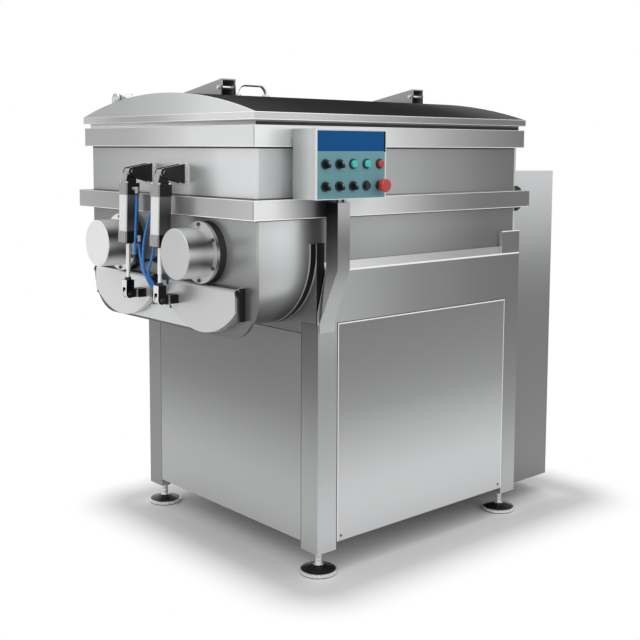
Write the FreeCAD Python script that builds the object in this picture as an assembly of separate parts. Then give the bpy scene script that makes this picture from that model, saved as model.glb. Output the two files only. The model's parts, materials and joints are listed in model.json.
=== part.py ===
import FreeCAD, Part
import math
import os

V = FreeCAD.Vector

# Driving dimensions in millimetres. X runs along the paddle shafts, from the discharge end to the
# drive end. Y runs from the operator's side to the hinge side. Z is up and the feet stand on Z = 0.

# Base
base_length = 942.0
base_side_gap = 12.0
leg_size = 76.0
leg_wall = 4.0
leg_ground_gap = 73.0
leg_top_drop = 214.0
rail_size = 40.0
rail_inset = 28.0
rail_top_gap = 48.0
panel_ground_gap = 98.0
panel_thickness = 3.0
panel_gap = 2.0
ledge_rise = 158.0
ledge_slope_height = 26.0
column_width = 95.0
column_rise = 237.0
pump_shelf_thickness = 4.0
foot_plug = 12.0

# Levelling feet
foot_diameter = 115.0
foot_rim_height = 12.0
foot_cone_height = 16.0
foot_stem_diameter = 20.0
foot_inset = 38.0
foot_thread_engagement = 40.0

# Trough
trough_overhang = 222.0
trough_setback = 13.0
barrel_radius = 226.0
trough_wall = 5.0
barrel_overlap = 2.0
shaft_height = 992.0
trough_rise = 372.0
end_plate_thickness = 10.0
end_plate_margin = 16.0
end_plate_corner = 128.0
drive_plate_margin = 3.0
drive_plate_corner = 190.0

# Bands folded round the trough
rim_height = 61.0
rim_reach = 19.0
belt_rise = 106.0
belt_height = 57.0
belt_reach = 35.0
band_sheet = 3.0
buffer_reach = 16.0
buffer_width = 40.0
buffer_overhang = 6.0

# Saddles and cheeks under the trough
saddle_sheet = 4.0
saddle_flange = 28.0
saddle_tab_rise = 28.0
post_foot_rise = 38.0
ledge_start = 30.0

# Bearing housings at the discharge end
housing_diameter = 150.0
housing_length = 86.0
housing_wall = 20.0
flange_diameter = 185.0
flange_thickness = 10.0
seal_ring_thickness = 24.0

# Paddle shafts
shaft_diameter = 84.0
journal_diameter = 60.0
bearing_width = 36.0
drive_bearing_diameter = 150.0
running_clearance = 0.08
paddle_count = 6
paddle_clearance = 5.0
paddle_arm_diameter = 30.0
paddle_blade_width = 120.0
paddle_blade_height = 74.0
paddle_blade_thickness = 10.0
paddle_pitch_angle = 42.0

# Gear train in the drive cabinet
gear_teeth = 25
gear_width = 36.0
gear_backlash = 0.9
gear_shaft_diameter = 40.0
gear_gap_to_wall = 46.0

# Drive cabinet
cabinet_gap = 24.0
cabinet_depth = 242.0
cabinet_front_inset = 60.0
cabinet_bottom = 66.0
cabinet_rise = 228.0
cabinet_sheet = 3.0
cover_thickness = 3.0
motor_diameter = 144.0
motor_length = 300.0
motor_neck = 26.0
motor_foot_lap = 30.0
motor_foot_thickness = 14.0
terminal_width = 88.0
terminal_height = 90.0
terminal_drop = 110.0
terminal_reach = 118.0
gearbox_size = 190.0
gearbox_depth = 104.0

# Vacuum pump on the shelf of the base
pump_place = 0.53
pump_back = 170.0
pump_front = 60.0
pump_width = 220.0
pump_height = 210.0
pump_ground_gap = 20.0
pump_edge = 18.0
pump_motor_length = 240.0
pump_motor_diameter = 190.0
pump_motor_rise = 125.0
pump_foot_length = 40.0
pump_foot_height = 34.0
pump_foot_inset = 10.0
pump_rear_foot = 100.0
pump_flange_height = 14.0
suction_diameter = 42.0
suction_rise = 90.0

# Discharge doors
outlet_step = 4.0
outlet_top_drop = 122.0
seat_thickness = 8.0
seat_margin = 16.0
gasket_thickness = 2.0
gasket_width = 9.0
door_thickness = 20.0
door_spread = 108.0
door_margin = 15.0
door_top_drop = 105.0
door_pin_diameter = 10.0
door_pin_length = 30.0
door_ear_thickness = 8.0
door_ear_drop = 82.0
door_seat_gap = 0.3

# Door cylinders
cylinder_inset = 38.0
horn_reach = 56.7
horn_drop = 46.0
horn_height = 27.0
horn_width = 38.0
tongue_width = 15.0
slot_length = 9.5
slot_play = 2.4
slot_shift = 0.95
link_pin_diameter = 12.0
pivot_rise = 233.0
pivot_reach = 76.0
cylinder_section = 50.0
cylinder_bore = 40.0
cylinder_cap = 36.0
cylinder_barrel = 115.0
cylinder_top_drop = 35.0
rod_diameter = 16.0
rod_thread_diameter = 12.0
rod_thread_length = 34.0
piston_length = 20.0
fork_cheek = 6.0
fork_width = 28.0
bracket_plate = 4.0
bracket_width = 66.0
bracket_height = 62.0
bracket_cheek = 6.0
fork_height = 44.0

# Air ports, hoses and the fittings that they end in
hose_diameter = 8.0
port_diameter = 11.0
port_drop = 14.0
port_places = {
    ("near", "top"): (0.0, 15.0), ("near", "low"): (0.0, 13.0),
    ("far", "top"): (0.0, 20.0), ("far", "low"): (12.0, 18.0),
}
wall_fitting_drop = -263.0
wall_fitting_shift = 5.0
manifold_reach = 22.0
manifold_drop = 162.0
manifold_pitch = 13.0
manifold_centre = 15.0
manifold_stub_length = 22.0
hose_drop = 24.0
hose_long_drop = 42.0
hose_entry = 21.0
hose_ways = {
    ("near", "top"): ((-4.0, 20.0, -70.0), (-10.0, 42.0, -132.0), (-13.0, 47.0, -186.0), (-13.0, 44.0, -236.0)),
    ("near", "low"): ((-4.0, 12.0, -57.0), (-6.0, 27.0, -90.0)),
    ("far", "top"): ((-3.5, 2.0, -88.0), (-4.0, 4.0, -132.0)),
    ("far", "low"): ((-3.0, -13.0, -54.0), (-8.0, -29.0, -84.0)),
}
hose_bends = {
    ("near", "top"): (-38.0, 1.0, 51.0), ("near", "low"): (-36.0, 3.0, 49.0),
    ("far", "low"): (-34.0, 6.0, 50.0),
}

# Lid
lid_reach = 22.0
lid_seal_height = 14.0
lid_seal_width = 22.0
lid_flange_height = 22.0
lid_flange_width = 60.0
dome_rise = 67.0
dome_sheet = 4.0
arm_offset = 424.0
arm_width = 54.0
arm_sheet = 4.0
arm_front_height = 50.0
arm_front = 124.0
arm_waist = 92.0
arm_waist_height = 10.0
arm_waist_wall = 6.0
arm_back = 300.0
arm_back_height = 18.0
arm_hollow_end = 200.0
hinge_back = 44.0
hinge_rise = 103.0
hinge_ear_radius = 22.0
hinge_pin_diameter = 18.0
hinge_cheek = 8.0
pin_overhang = 4.0
grip_diameter = 12.0
grip_setback = 16.0
grip_rise = 24.0
arm_gap = 2.0
hinge_pin_end = 6.0
vacuum_line_diameter = 12.0
vacuum_line_span = 120.0
vacuum_line_rise = 44.0
vacuum_line_bend = 30.0
vacuum_line_shoulder = 0.88 / 3
vacuum_line_offset = 170.0
vacuum_line_setback = 60.0
vacuum_nut_diameter = 26.0
vacuum_nut_height = 12.0

# Control post and box
post_width = 48.0
post_depth = 50.0
post_top_rise = 151.0
post_foot_drop = 45.0
post_left = 10.0
box_width = 272.0
box_height = 199.0
box_depth = 100.0
box_gap = 12.5
box_stand_off = 113.0
box_left = -109.0
box_sheet = 2.0
control_plate = 3.0
control_columns = 5
control_pitch = 52.8
control_row_pitch = 62.7
control_first_column = 33.0
control_first_row = 37.3
bezel_diameter = 29.0
bezel_height = 5.0
control_hole = 22.0
control_stem = 12.0
stem_length = 20.0
button_travel = 4.0
knob_height = 16.0
button_height = 7.0
stop_diameter = 40.0
stop_height = 28.0
stop_neck = 26.0
stop_cap_height = 15.0

# Places worked out from the driving dimensions
outlet_gap = seat_thickness + gasket_thickness + door_seat_gap
barrel_outer = barrel_radius + trough_wall
shaft_spacing = 2 * barrel_radius - barrel_overlap
outlet_radius = barrel_radius - outlet_step
door_width = shaft_spacing - door_spread
end_plate_drop = barrel_outer + end_plate_margin
drive_plate_drop = barrel_outer + drive_plate_margin
base_width = shaft_spacing + 2 * barrel_outer + 2 * base_side_gap
housing_reach = seal_ring_thickness + flange_thickness + housing_length
reach_front = trough_overhang + housing_reach
reach_back = cabinet_gap + cabinet_depth + cover_thickness
base_x0 = -(reach_front + base_length + reach_back) / 2 + reach_front
base_x1 = base_x0 + base_length
stop_reach = bezel_height + stop_height
hinge_overhang = hinge_back + hinge_ear_radius + shaft_spacing / 2 + barrel_outer - base_width / 2
base_y0 = -(box_stand_off + stop_reach + base_width + hinge_overhang) / 2 + box_stand_off + stop_reach
base_y1 = base_y0 + base_width
mid_y = (base_y0 + base_y1) / 2
near_y = mid_y - shaft_spacing / 2
far_y = mid_y + shaft_spacing / 2
trough_x0 = base_x0 - trough_overhang
trough_x1 = base_x1 - trough_setback
trough_y0 = near_y - barrel_outer
trough_y1 = far_y + barrel_outer
trough_top = shaft_height + trough_rise
belt_bottom = shaft_height + belt_rise
saddle_top = shaft_height + saddle_tab_rise
saddle_bottom = shaft_height - end_plate_drop
inner_x0 = trough_x0 + end_plate_thickness
inner_x1 = trough_x1 - end_plate_thickness
leg_top = shaft_height - leg_top_drop
panel_top = leg_top
leg_height = leg_top - leg_ground_gap
seat_x = trough_x0 - seat_thickness
door_back_x = trough_x0 - outlet_gap
door_front_x = door_back_x - door_thickness
hinge_x = door_back_x - door_thickness / 2
door_top = shaft_height - door_top_drop
hinge_z = door_top
horn_x = door_front_x - horn_reach
horn_z = hinge_z - horn_drop
pivot_x = trough_x0 - pivot_reach
manifold_x = trough_x0 - manifold_reach
manifold_z = shaft_height - manifold_drop
pivot_z = shaft_height + pivot_rise
cabinet_x0 = base_x1 + cabinet_gap
cabinet_x1 = cabinet_x0 + cabinet_depth
cabinet_top = shaft_height + cabinet_rise
cabinet_y0 = base_y0 + cabinet_front_inset
cabinet_y1 = base_y1 - cabinet_front_inset
gear_x0 = cabinet_x0 + gear_gap_to_wall
gear_x1 = gear_x0 + gear_width
gear_spacing = shaft_spacing / 3
lid_x0 = trough_x0 - lid_reach
lid_x1 = trough_x1 + lid_reach
lid_y0 = trough_y0 - lid_reach
lid_y1 = trough_y1 + lid_reach
lid_bottom = trough_top + lid_seal_height
lid_flange_top = lid_bottom + lid_flange_height
crown_z = lid_flange_top + dome_rise
dome_radius = ((lid_y1 - lid_y0) ** 2 / 4 + dome_rise ** 2) / (2 * dome_rise)
lid_hinge_y = trough_y1 + hinge_back
lid_hinge_z = trough_top + hinge_rise
arm_centres = (
    (trough_x0 + trough_x1) / 2 - arm_offset,
    (trough_x0 + trough_x1) / 2 + arm_offset,
)
post_x0 = base_x0 + post_left
post_x1 = post_x0 + post_width
post_top = shaft_height + post_top_rise
post_foot = shaft_height - post_foot_drop
box_bottom = post_top + box_gap
belt_y0 = trough_y0 - belt_reach
post_y0 = belt_y0 - post_depth
box_x0 = base_x0 + box_left
box_x1 = box_x0 + box_width
box_y0 = base_y0 - box_stand_off
box_y1 = box_y0 + box_depth
box_top = box_bottom + box_height
cylinder_reach = door_width / 2 - cylinder_inset
doors = {"near": (near_y, near_y + cylinder_reach), "far": (far_y, far_y - cylinder_reach)}


# Helpers that make the plain solids

def block(x0, x1, y0, y1, z0, z1):
    return Part.makeBox(x1 - x0, y1 - y0, z1 - z0, V(x0, y0, z0))


def rod_x(x0, x1, y, z, diameter):
    return Part.makeCylinder(diameter / 2, x1 - x0, V(x0, y, z), V(1, 0, 0))


def rod_y(x, y0, y1, z, diameter):
    return Part.makeCylinder(diameter / 2, y1 - y0, V(x, y0, z), V(0, 1, 0))


def rod_z(x, y, z0, z1, diameter):
    return Part.makeCylinder(diameter / 2, z1 - z0, V(x, y, z0))


def ring_x(x0, x1, y, z, outer, inner):
    return rod_x(x0, x1, y, z, outer).cut(rod_x(x0 - 1, x1 + 1, y, z, inner))


def prism(points, direction):
    face = Part.Face(Part.makePolygon([V(*p) for p in points] + [V(*points[0])]))
    return face.extrude(V(*direction))


def join(shapes):
    whole = shapes[0]
    for shape in shapes[1:]:
        whole = whole.fuse(shape)
    return whole.removeSplitter()


def write(name, solids):
    shape = solids[0] if len(solids) == 1 else Part.makeCompound(solids)
    shape.exportStep("parts/" + name + ".step")


# Base

def square_tube(x0, y0, z0, length, axis, size, wall):
    span = {"x": (length, size, size), "y": (size, length, size), "z": (size, size, length)}[axis]
    outer = Part.makeBox(*span, V(x0, y0, z0))
    hollow = [s - 2 * wall for s in span]
    start = [x0 + wall, y0 + wall, z0 + wall]
    along = "xyz".index(axis)
    hollow[along] = length + 2
    start[along] = (x0, y0, z0)[along] - 1
    return outer.cut(Part.makeBox(*hollow, V(*start)))


def leg_corners():
    return [
        (x, y)
        for x in (base_x0, base_x1 - leg_size)
        for y in (base_y0, base_y1 - leg_size)
    ]


def foot_centres():
    return [
        (x, y)
        for x in (base_x0 + foot_inset, base_x1 - foot_inset)
        for y in (base_y0 + foot_inset, base_y1 - foot_inset)
    ]


def make_base_frame():
    solids = []
    for x, y in leg_corners():
        tube = square_tube(x, y, leg_ground_gap, leg_height, "z", leg_size, leg_wall)
        plug = block(
            x + leg_wall, x + leg_size - leg_wall, y + leg_wall, y + leg_size - leg_wall,
            leg_ground_gap, leg_ground_gap + foot_plug,
        )
        cap = block(x, x + leg_size, y, y + leg_size, leg_top - leg_wall, leg_top)
        solids.append(join([tube, plug, cap]))
    for index, (x, y) in enumerate(foot_centres()):
        bore = rod_z(x, y, leg_ground_gap - 1, leg_ground_gap + 30, foot_stem_diameter)
        solids[index] = solids[index].cut(bore)
    long_span = base_length - 2 * leg_size
    cross_span = base_width - 2 * leg_size
    low = panel_ground_gap + 2
    high = panel_top - rail_size - rail_top_gap
    inset = rail_inset
    for z in (low, high):
        for y in (base_y0 + inset, base_y1 - inset - rail_size):
            solids.append(square_tube(base_x0 + leg_size, y, z, long_span, "x", rail_size, leg_wall))
        for x in (base_x0 + inset, base_x1 - inset - rail_size):
            solids.append(square_tube(x, base_y0 + leg_size, z, cross_span, "y", rail_size, leg_wall))
    shelf_z = low + rail_size
    solids.append(block(
        base_x0 + inset, base_x1 - inset, base_y0 + leg_size, base_y1 - leg_size,
        shelf_z, shelf_z + pump_shelf_thickness,
    ))
    write("base_frame", solids)


def tray(x0, x1, y0, y1, z0, z1, open_side):
    body = block(x0, x1, y0, y1, z0, z1)
    t = panel_thickness
    cut = [x0 + t, x1 - t, y0 + t, y1 - t, z0 + t, z1 - t]
    cut["x- x+ y- y+".split().index(open_side)] += -2 * t if open_side[1] == "-" else 2 * t
    return body.cut(block(*cut))


def make_side_panels():
    x0 = base_x0 + leg_size + panel_gap
    x1 = base_x1 - leg_size - panel_gap
    z0 = panel_ground_gap
    z1 = panel_top - panel_gap
    front = tray(x0, x1, base_y0 - panel_thickness, base_y0 + rail_inset, z0, z1, "y+")
    back = tray(x0, x1, base_y1 - rail_inset, base_y1 + panel_thickness, z0, z1, "y-")
    write("side_panels", [front, back])


def make_end_panels():
    y0 = base_y0 + leg_size + panel_gap
    y1 = base_y1 - leg_size - panel_gap
    z1 = saddle_bottom - panel_gap
    front = tray(base_x0, base_x0 + rail_inset, y0, y1, panel_ground_gap, z1, "x+")
    back = tray(base_x1 - rail_inset, base_x1, y0, y1, panel_ground_gap, z1, "x-")
    write("end_panels", [front, back])


def make_aprons():
    ledge_z = panel_top + ledge_rise
    corner_z = leg_top + post_foot_rise
    start_x = base_x0 + ledge_start
    column_x = base_x1 - column_width
    column_z = panel_top + column_rise
    t = panel_thickness
    solids = []
    for y, wall_y, inward in ((base_y0, trough_y0, 1), (base_y1, trough_y1, -1)):
        web = prism([
            (base_x0, y, leg_top), (base_x1, y, leg_top), (base_x1, y, column_z), (column_x, y, column_z),
            (column_x, y, ledge_z), (start_x, y, ledge_z), (base_x0, y, corner_z),
        ], (0, inward * t, 0))
        slope = prism([
            (start_x, y, ledge_z), (start_x, wall_y, ledge_z + ledge_slope_height),
            (start_x, wall_y, ledge_z + ledge_slope_height - 2 * t), (start_x, y + inward * t, ledge_z - t),
            (start_x, y, ledge_z - t),
        ], (column_x - start_x, 0, 0))
        y_in, y_out = sorted((y, wall_y))
        returns = [
            block(column_x, column_x + t, y_in, y_out, ledge_z, column_z),
            block(base_x1 - t, base_x1, y_in, y_out, leg_top, column_z),
            block(column_x, base_x1, y_in, y_out, column_z - t, column_z),
        ]
        solids.append(join([web, slope] + returns))
    write("aprons", solids)


def saddle(band_x, web_x, with_tabs):
    outer = barrel_outer + saddle_sheet
    web = block(web_x, web_x + saddle_sheet, trough_y0, trough_y1, leg_top + 1, shaft_height)
    web = web.fuse(block(
        web_x, web_x + saddle_sheet, base_y0 + leg_size + 1, base_y1 - leg_size - 1,
        saddle_bottom, leg_top + 1,
    ))
    pieces = []
    for y, side in ((near_y, -1), (far_y, 1)):
        web = web.cut(rod_x(web_x - 1, web_x + saddle_sheet + 1, y, shaft_height, 2 * barrel_outer))
        ring = ring_x(band_x, band_x + saddle_flange, y, shaft_height, 2 * outer, 2 * barrel_outer)
        y_low, y_high = sorted((mid_y, y + side * (outer + 1)))
        pieces.append(ring.common(block(band_x, band_x + saddle_flange, y_low, y_high, 0, shaft_height)))
        if with_tabs:
            y_low, y_high = sorted((y + side * barrel_outer, y + side * outer))
            pieces.append(block(
                band_x, band_x + saddle_flange, y_low, y_high, shaft_height, saddle_top,
            ))
    return join([web] + pieces)


def make_trough_saddles():
    drive_x = inner_x1 - saddle_flange - saddle_sheet
    solids = [
        saddle(base_x0 - saddle_flange, base_x0, True),
        saddle(drive_x, drive_x - saddle_sheet, False),
    ]
    for y, side in ((trough_y0, -1), (trough_y1, 1)):
        y_low, y_high = sorted((y, y + side * saddle_sheet))
        solids.append(block(base_x0, base_x0 + ledge_start, y_low, y_high, leg_top + 1, saddle_top))
    write("trough_saddles", solids)


def make_levelling_feet():
    solids = []
    stem_top = leg_ground_gap + foot_thread_engagement
    for x, y in foot_centres():
        radius = foot_diameter / 2
        profile = Part.makePolygon([
            V(0, 0, 0), V(radius - 3, 0, 0), V(radius, 0, 3), V(radius, 0, foot_rim_height),
            V(radius - 6, 0, foot_rim_height + 2),
            V(foot_stem_diameter, 0, foot_rim_height + foot_cone_height - 4),
            V(foot_stem_diameter / 2 + 3, 0, foot_rim_height + foot_cone_height),
            V(foot_stem_diameter / 2, 0, foot_rim_height + foot_cone_height),
            V(foot_stem_diameter / 2, 0, leg_ground_gap - foot_plug),
            V(foot_stem_diameter / 2 + 6, 0, leg_ground_gap - foot_plug),
            V(foot_stem_diameter / 2 + 6, 0, leg_ground_gap),
            V(foot_stem_diameter / 2, 0, leg_ground_gap),
            V(foot_stem_diameter / 2, 0, stem_top), V(0, 0, stem_top), V(0, 0, 0),
        ])
        foot = Part.Face(profile).revolve(V(0, 0, 0), V(0, 0, 1), 360)
        foot.translate(V(x, y, 0))
        solids.append(foot)
    write("levelling_feet", solids)


# Trough

def twin_outline(x0, x1, radius, top):
    body = block(x0, x1, near_y - radius, far_y + radius, shaft_height, top)
    return join([
        body, rod_x(x0, x1, near_y, shaft_height, 2 * radius), rod_x(x0, x1, far_y, shaft_height, 2 * radius),
    ])


def make_trough_shell():
    outer = twin_outline(inner_x0, inner_x1, barrel_outer, trough_top)
    inner = twin_outline(inner_x0 - 1, inner_x1 + 1, barrel_radius, trough_top + 1)
    write("trough_shell", [outer.cut(inner)])


def rounded_plate(x0, x1, bottom, corner):
    plate = block(x0, x1, trough_y0, trough_y1, bottom, trough_top)
    low_edges = [
        edge for edge in plate.Edges
        if abs(edge.BoundBox.XLength - (x1 - x0)) < 0.01 and edge.BoundBox.ZMax < bottom + 1
    ]
    return plate.makeFillet(corner, low_edges)


def outlet_opening(y, x0, x1, grow):
    radius = outlet_radius + grow
    half = door_width / 2 - door_margin + grow
    top = shaft_height - outlet_top_drop + grow
    slab = block(x0, x1, y - half, y + half, shaft_height - radius - 1, top)
    return slab.common(rod_x(x0, x1, y, shaft_height, 2 * radius))


def make_end_plates():
    front = rounded_plate(trough_x0, inner_x0, shaft_height - end_plate_drop, end_plate_corner)
    back = rounded_plate(inner_x1, trough_x1, shaft_height - drive_plate_drop, drive_plate_corner)
    for y in (near_y, far_y):
        hole = journal_diameter + 30
        front = front.cut(rod_x(trough_x0 - 1, inner_x0 + 1, y, shaft_height, hole))
        front = front.cut(outlet_opening(y, trough_x0 - 1, inner_x0 + 1, 0.0))
        back = back.cut(rod_x(inner_x1 - 1, trough_x1 + 1, y, shaft_height, hole))
    write("end_plate_discharge", [front])
    write("end_plate_drive", [back])


def band(reach, bottom, height):
    def slab(grow, z0, z1):
        return block(trough_x0 - grow, trough_x1 + grow, trough_y0 - grow, trough_y1 + grow, z0, z1)
    outer = slab(reach, bottom, bottom + height).cut(slab(0, bottom - 1, bottom + height + 1))
    hollow = slab(reach - band_sheet, bottom + band_sheet, bottom + height - band_sheet)
    return outer.cut(hollow)


def make_bands():
    rim = band(rim_reach, trough_top - rim_height, rim_height)
    belt = band(belt_reach, belt_bottom, belt_height)
    write("rim_band", [rim])
    write("belt_band", [belt])


def make_corner_buffers():
    solids = []
    radius = belt_height / 2 + buffer_reach
    middle = belt_bottom + belt_height / 2
    lap = buffer_overhang
    for y0, y1 in (
        (trough_y0 - lap, trough_y0 - lap + buffer_width), (trough_y1 + lap - buffer_width, trough_y1 + lap),
    ):
        disc = rod_y(trough_x1 - lap, y0, y1, middle, 2 * radius)
        disc = disc.common(block(trough_x1, trough_x1 + radius, y0, y1, 0, trough_top))
        for z0, z1 in ((belt_bottom + belt_height, trough_top), (0, belt_bottom)):
            solids.append(disc.common(block(trough_x1, trough_x1 + radius, y0, y1, z0, z1)))
    write("corner_buffers", solids)


# Bearings, shafts and paddles

def make_bearing_housings():
    housings = []
    seal_rings = []
    bore = housing_diameter - 2 * housing_wall
    x2 = trough_x0 - seal_ring_thickness
    x1 = x2 - flange_thickness
    x0 = x1 - housing_length
    for y in (near_y, far_y):
        body = rod_x(x0, x1, y, shaft_height, housing_diameter)
        body = body.makeChamfer(2.0, [e for e in body.Edges if abs(e.BoundBox.XMin - x0) < 0.01
                                      and e.BoundBox.XLength < 0.01])
        flange = rod_x(x1, x2, y, shaft_height, flange_diameter)
        whole = body.fuse(flange).removeSplitter()
        housings.append(whole.cut(rod_x(x0 + housing_wall, x2 + 1, y, shaft_height, bore)))
        hole = journal_diameter + 2 * running_clearance
        seal_rings.append(ring_x(x2, trough_x0, y, shaft_height, flange_diameter, hole))
        seal_rings.append(ring_x(trough_x1, trough_x1 + 10, y, shaft_height, drive_bearing_diameter, hole))
    write("bearing_housings", housings)
    write("shaft_seals", seal_rings)


def make_shaft_bearings():
    solids = []
    bore = housing_diameter - 2 * housing_wall
    hole = journal_diameter + 2 * running_clearance
    x2 = trough_x0 - seal_ring_thickness - flange_thickness
    for y in (near_y, far_y):
        solids.append(ring_x(x2 - bearing_width, x2, y, shaft_height, bore, hole))
        solids.append(ring_x(trough_x1 + 10, cabinet_x0 + 12, y, shaft_height, drive_bearing_diameter, hole))
    gear_hole = gear_shaft_diameter + 2 * running_clearance
    for k in (1, 2):
        y = near_y + k * gear_spacing
        solids.append(ring_x(cabinet_x0 + cabinet_sheet, gear_x0 - 6, y, shaft_height, 76, gear_hole))
    write("shaft_bearings", solids)


def gear(y):
    module = gear_spacing / gear_teeth
    pitch_r = gear_spacing / 2
    root_r = pitch_r - 1.15 * module
    tip_r = pitch_r + 0.9 * module
    half = math.pi / gear_teeth / 2 - gear_backlash / 2 / pitch_r
    tilt = math.tan(math.radians(20))
    points = []
    for k in range(gear_teeth):
        middle = k * 2 * math.pi / gear_teeth
        for radius, sign in ((root_r, -1), (pitch_r, -1), (tip_r, -1), (tip_r, 1), (pitch_r, 1), (root_r, 1)):
            width = half - (radius - pitch_r) * tilt / pitch_r
            angle = middle + sign * width
            points.append((gear_x0, y + radius * math.cos(angle), shaft_height + radius * math.sin(angle)))
    return prism(points, (gear_width, 0, 0))


def paddle(x, y, angle, lean):
    tip = barrel_radius - paddle_clearance
    arm = rod_z(0, 0, shaft_diameter / 2 - 6, tip - paddle_blade_height / 2, paddle_arm_diameter)
    blade = block(
        -paddle_blade_width / 2, paddle_blade_width / 2, -paddle_blade_thickness / 2,
        paddle_blade_thickness / 2, tip - paddle_blade_height, tip + 30,
    )
    blade.rotate(V(0, 0, 0), V(0, 0, 1), lean)
    blade = blade.common(rod_x(-paddle_blade_width, paddle_blade_width, 0, 0, 2 * tip))
    whole = arm.fuse(blade)
    whole.rotate(V(0, 0, 0), V(1, 0, 0), angle)
    whole.translate(V(x, y, shaft_height))
    return whole


def make_paddle_shafts():
    housing_x = trough_x0 - seal_ring_thickness - flange_thickness - bearing_width
    pitch = (inner_x1 - inner_x0) / paddle_count
    for name, y, sign in (("near", near_y, 1), ("far", far_y, -1)):
        end_x = gear_x1 + 8
        shaft = join([
            rod_x(housing_x - 6, end_x, y, shaft_height, journal_diameter),
            rod_x(inner_x0 + 1, inner_x1 - 1, y, shaft_height, shaft_diameter),
        ])
        wheel = gear(y).cut(rod_x(gear_x0 - 1, gear_x1 + 1, y, shaft_height, journal_diameter))
        paddles = []
        for k in range(paddle_count):
            x = inner_x0 + (k + 0.5) * pitch
            angle = sign * (k * 360 / paddle_count + 30)
            lean = sign * paddle_pitch_angle * (1 if k < paddle_count / 2 else -1)
            piece = paddle(x, y, angle, lean)
            paddles.append(piece.cut(rod_x(inner_x0, inner_x1, y, shaft_height, shaft_diameter)))
        write("paddle_shaft_" + name, [shaft, wheel])
        write("paddles_" + name, paddles)


def make_idle_gears():
    for name, k in (("drive_pinion", 1), ("idler_gear", 2)):
        y = near_y + k * gear_spacing
        reach = gearbox_depth / 2 if k == 1 else 12
        wheel = gear(y)
        axle = rod_x(cabinet_x0 + cabinet_sheet + 3, gear_x1 + reach, y, shaft_height, gear_shaft_diameter)
        write(name, [wheel.fuse(axle).removeSplitter()])


# Drive cabinet and what it holds

def make_drive_cabinet():
    outer = block(cabinet_x0, cabinet_x1, cabinet_y0, cabinet_y1, cabinet_bottom, cabinet_top)
    s = cabinet_sheet
    inner = block(
        cabinet_x0 + s, cabinet_x1 + 1, cabinet_y0 + s, cabinet_y1 - s, cabinet_bottom + s, cabinet_top - s,
    )
    shell = outer.cut(inner)
    for y in (near_y, far_y):
        shell = shell.cut(rod_x(cabinet_x0 - 1, cabinet_x0 + s + 1, y, shaft_height, drive_bearing_diameter))
    ties = []
    for y in (base_y0 + leg_size, base_y1 - leg_size - 60):
        for z in (panel_ground_gap + 60, panel_top - 130):
            ties.append(block(base_x1, cabinet_x0, y, y + 60, z, z + 60))
    write("drive_cabinet", [shell] + ties)
    cover = block(
        cabinet_x1, cabinet_x1 + cover_thickness, cabinet_y0, cabinet_y1, cabinet_bottom, cabinet_top,
    )
    write("cabinet_cover", [cover])


def make_gearmotor():
    y = near_y + gear_spacing
    x0 = gear_x1 + 6
    x1 = x0 + gearbox_depth
    half = gearbox_size / 2
    case = block(x0, x1, y - half, y + half, shaft_height - half, shaft_height + half)
    case = case.makeChamfer(12, [e for e in case.Edges if e.BoundBox.XLength > gearbox_depth - 1])
    hole = gear_shaft_diameter + 2 * running_clearance
    case = case.cut(rod_x(x0 - 1, x0 + gearbox_depth / 2 + 2, y, shaft_height, hole))
    middle_x = (x0 + x1) / 2
    case_bottom = shaft_height - half
    motor_top = case_bottom - motor_neck
    neck = rod_z(middle_x, y, motor_top, case_bottom, gearbox_depth - 4)
    motor = rod_z(middle_x, y, motor_top - motor_length, motor_top, motor_diameter)
    terminal = block(
        middle_x - terminal_width / 2, middle_x + terminal_width / 2, y + gearbox_depth / 2,
        y + terminal_reach, case_bottom - terminal_drop - terminal_height, case_bottom - terminal_drop,
    )
    foot = block(
        cabinet_x0 + cabinet_sheet, x0 + motor_foot_lap, y - half, y + half,
        case_bottom - motor_foot_thickness, case_bottom,
    )
    motor = motor.fuse(terminal)
    write("gearmotor", [join([case, neck, motor, foot])])


def make_vacuum_pump():
    x = base_x0 + base_length * pump_place
    y0 = mid_y - pump_width / 2
    y1 = mid_y + pump_width / 2
    shelf = panel_ground_gap + 2 + rail_size + pump_shelf_thickness
    case_bottom = shelf + pump_ground_gap
    case_top = case_bottom + pump_height
    body = block(x - pump_back, x + pump_front, y0, y1, case_bottom, case_top)
    body = body.makeFillet(pump_edge, [e for e in body.Edges if e.BoundBox.XLength > pump_back])
    motor_end = x + pump_front + pump_motor_length
    motor = rod_x(x + pump_front, motor_end, mid_y, shelf + pump_motor_rise, pump_motor_diameter)
    feet = [
        block(foot_x, foot_x + pump_foot_length, y0, y1, shelf, shelf + pump_foot_height)
        for foot_x in (x - pump_back + pump_foot_inset, x + pump_foot_inset, motor_end - pump_rear_foot)
    ]
    flange = rod_z(x, mid_y, case_top - 4, case_top - 4 + pump_flange_height, 2 * suction_diameter)
    bend = suction_diameter * 1.5
    end_x = base_x1 - panel_thickness
    top = case_top + suction_rise
    start = V(x, mid_y, case_top - pump_foot_length)
    corner = V(x, mid_y, top)
    riser = Part.LineSegment(start, corner - V(0, 0, bend)).toShape()
    curve = bend * (1 - math.sqrt(0.5))
    elbow = Part.Arc(
        corner - V(0, 0, bend), corner + V(curve, 0, -curve), corner + V(bend, 0, 0),
    ).toShape()
    run = Part.LineSegment(corner + V(bend, 0, 0), V(end_x, mid_y, top)).toShape()
    path = Part.Wire([riser, elbow, run])
    section = Part.Wire([Part.makeCircle(suction_diameter / 2, start, V(0, 0, 1))])
    pipe = path.makePipeShell([section], True, True)
    write("vacuum_pump", [join([body, motor, pipe, flange] + feet)])


# Discharge doors and their cylinders

def door_outline(y, x0, x1, radius, half_width, top):
    slab = block(x0, x1, y - half_width, y + half_width, shaft_height - radius - 1, top)
    return slab.common(rod_x(x0, x1, y, shaft_height, 2 * radius))


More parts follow.
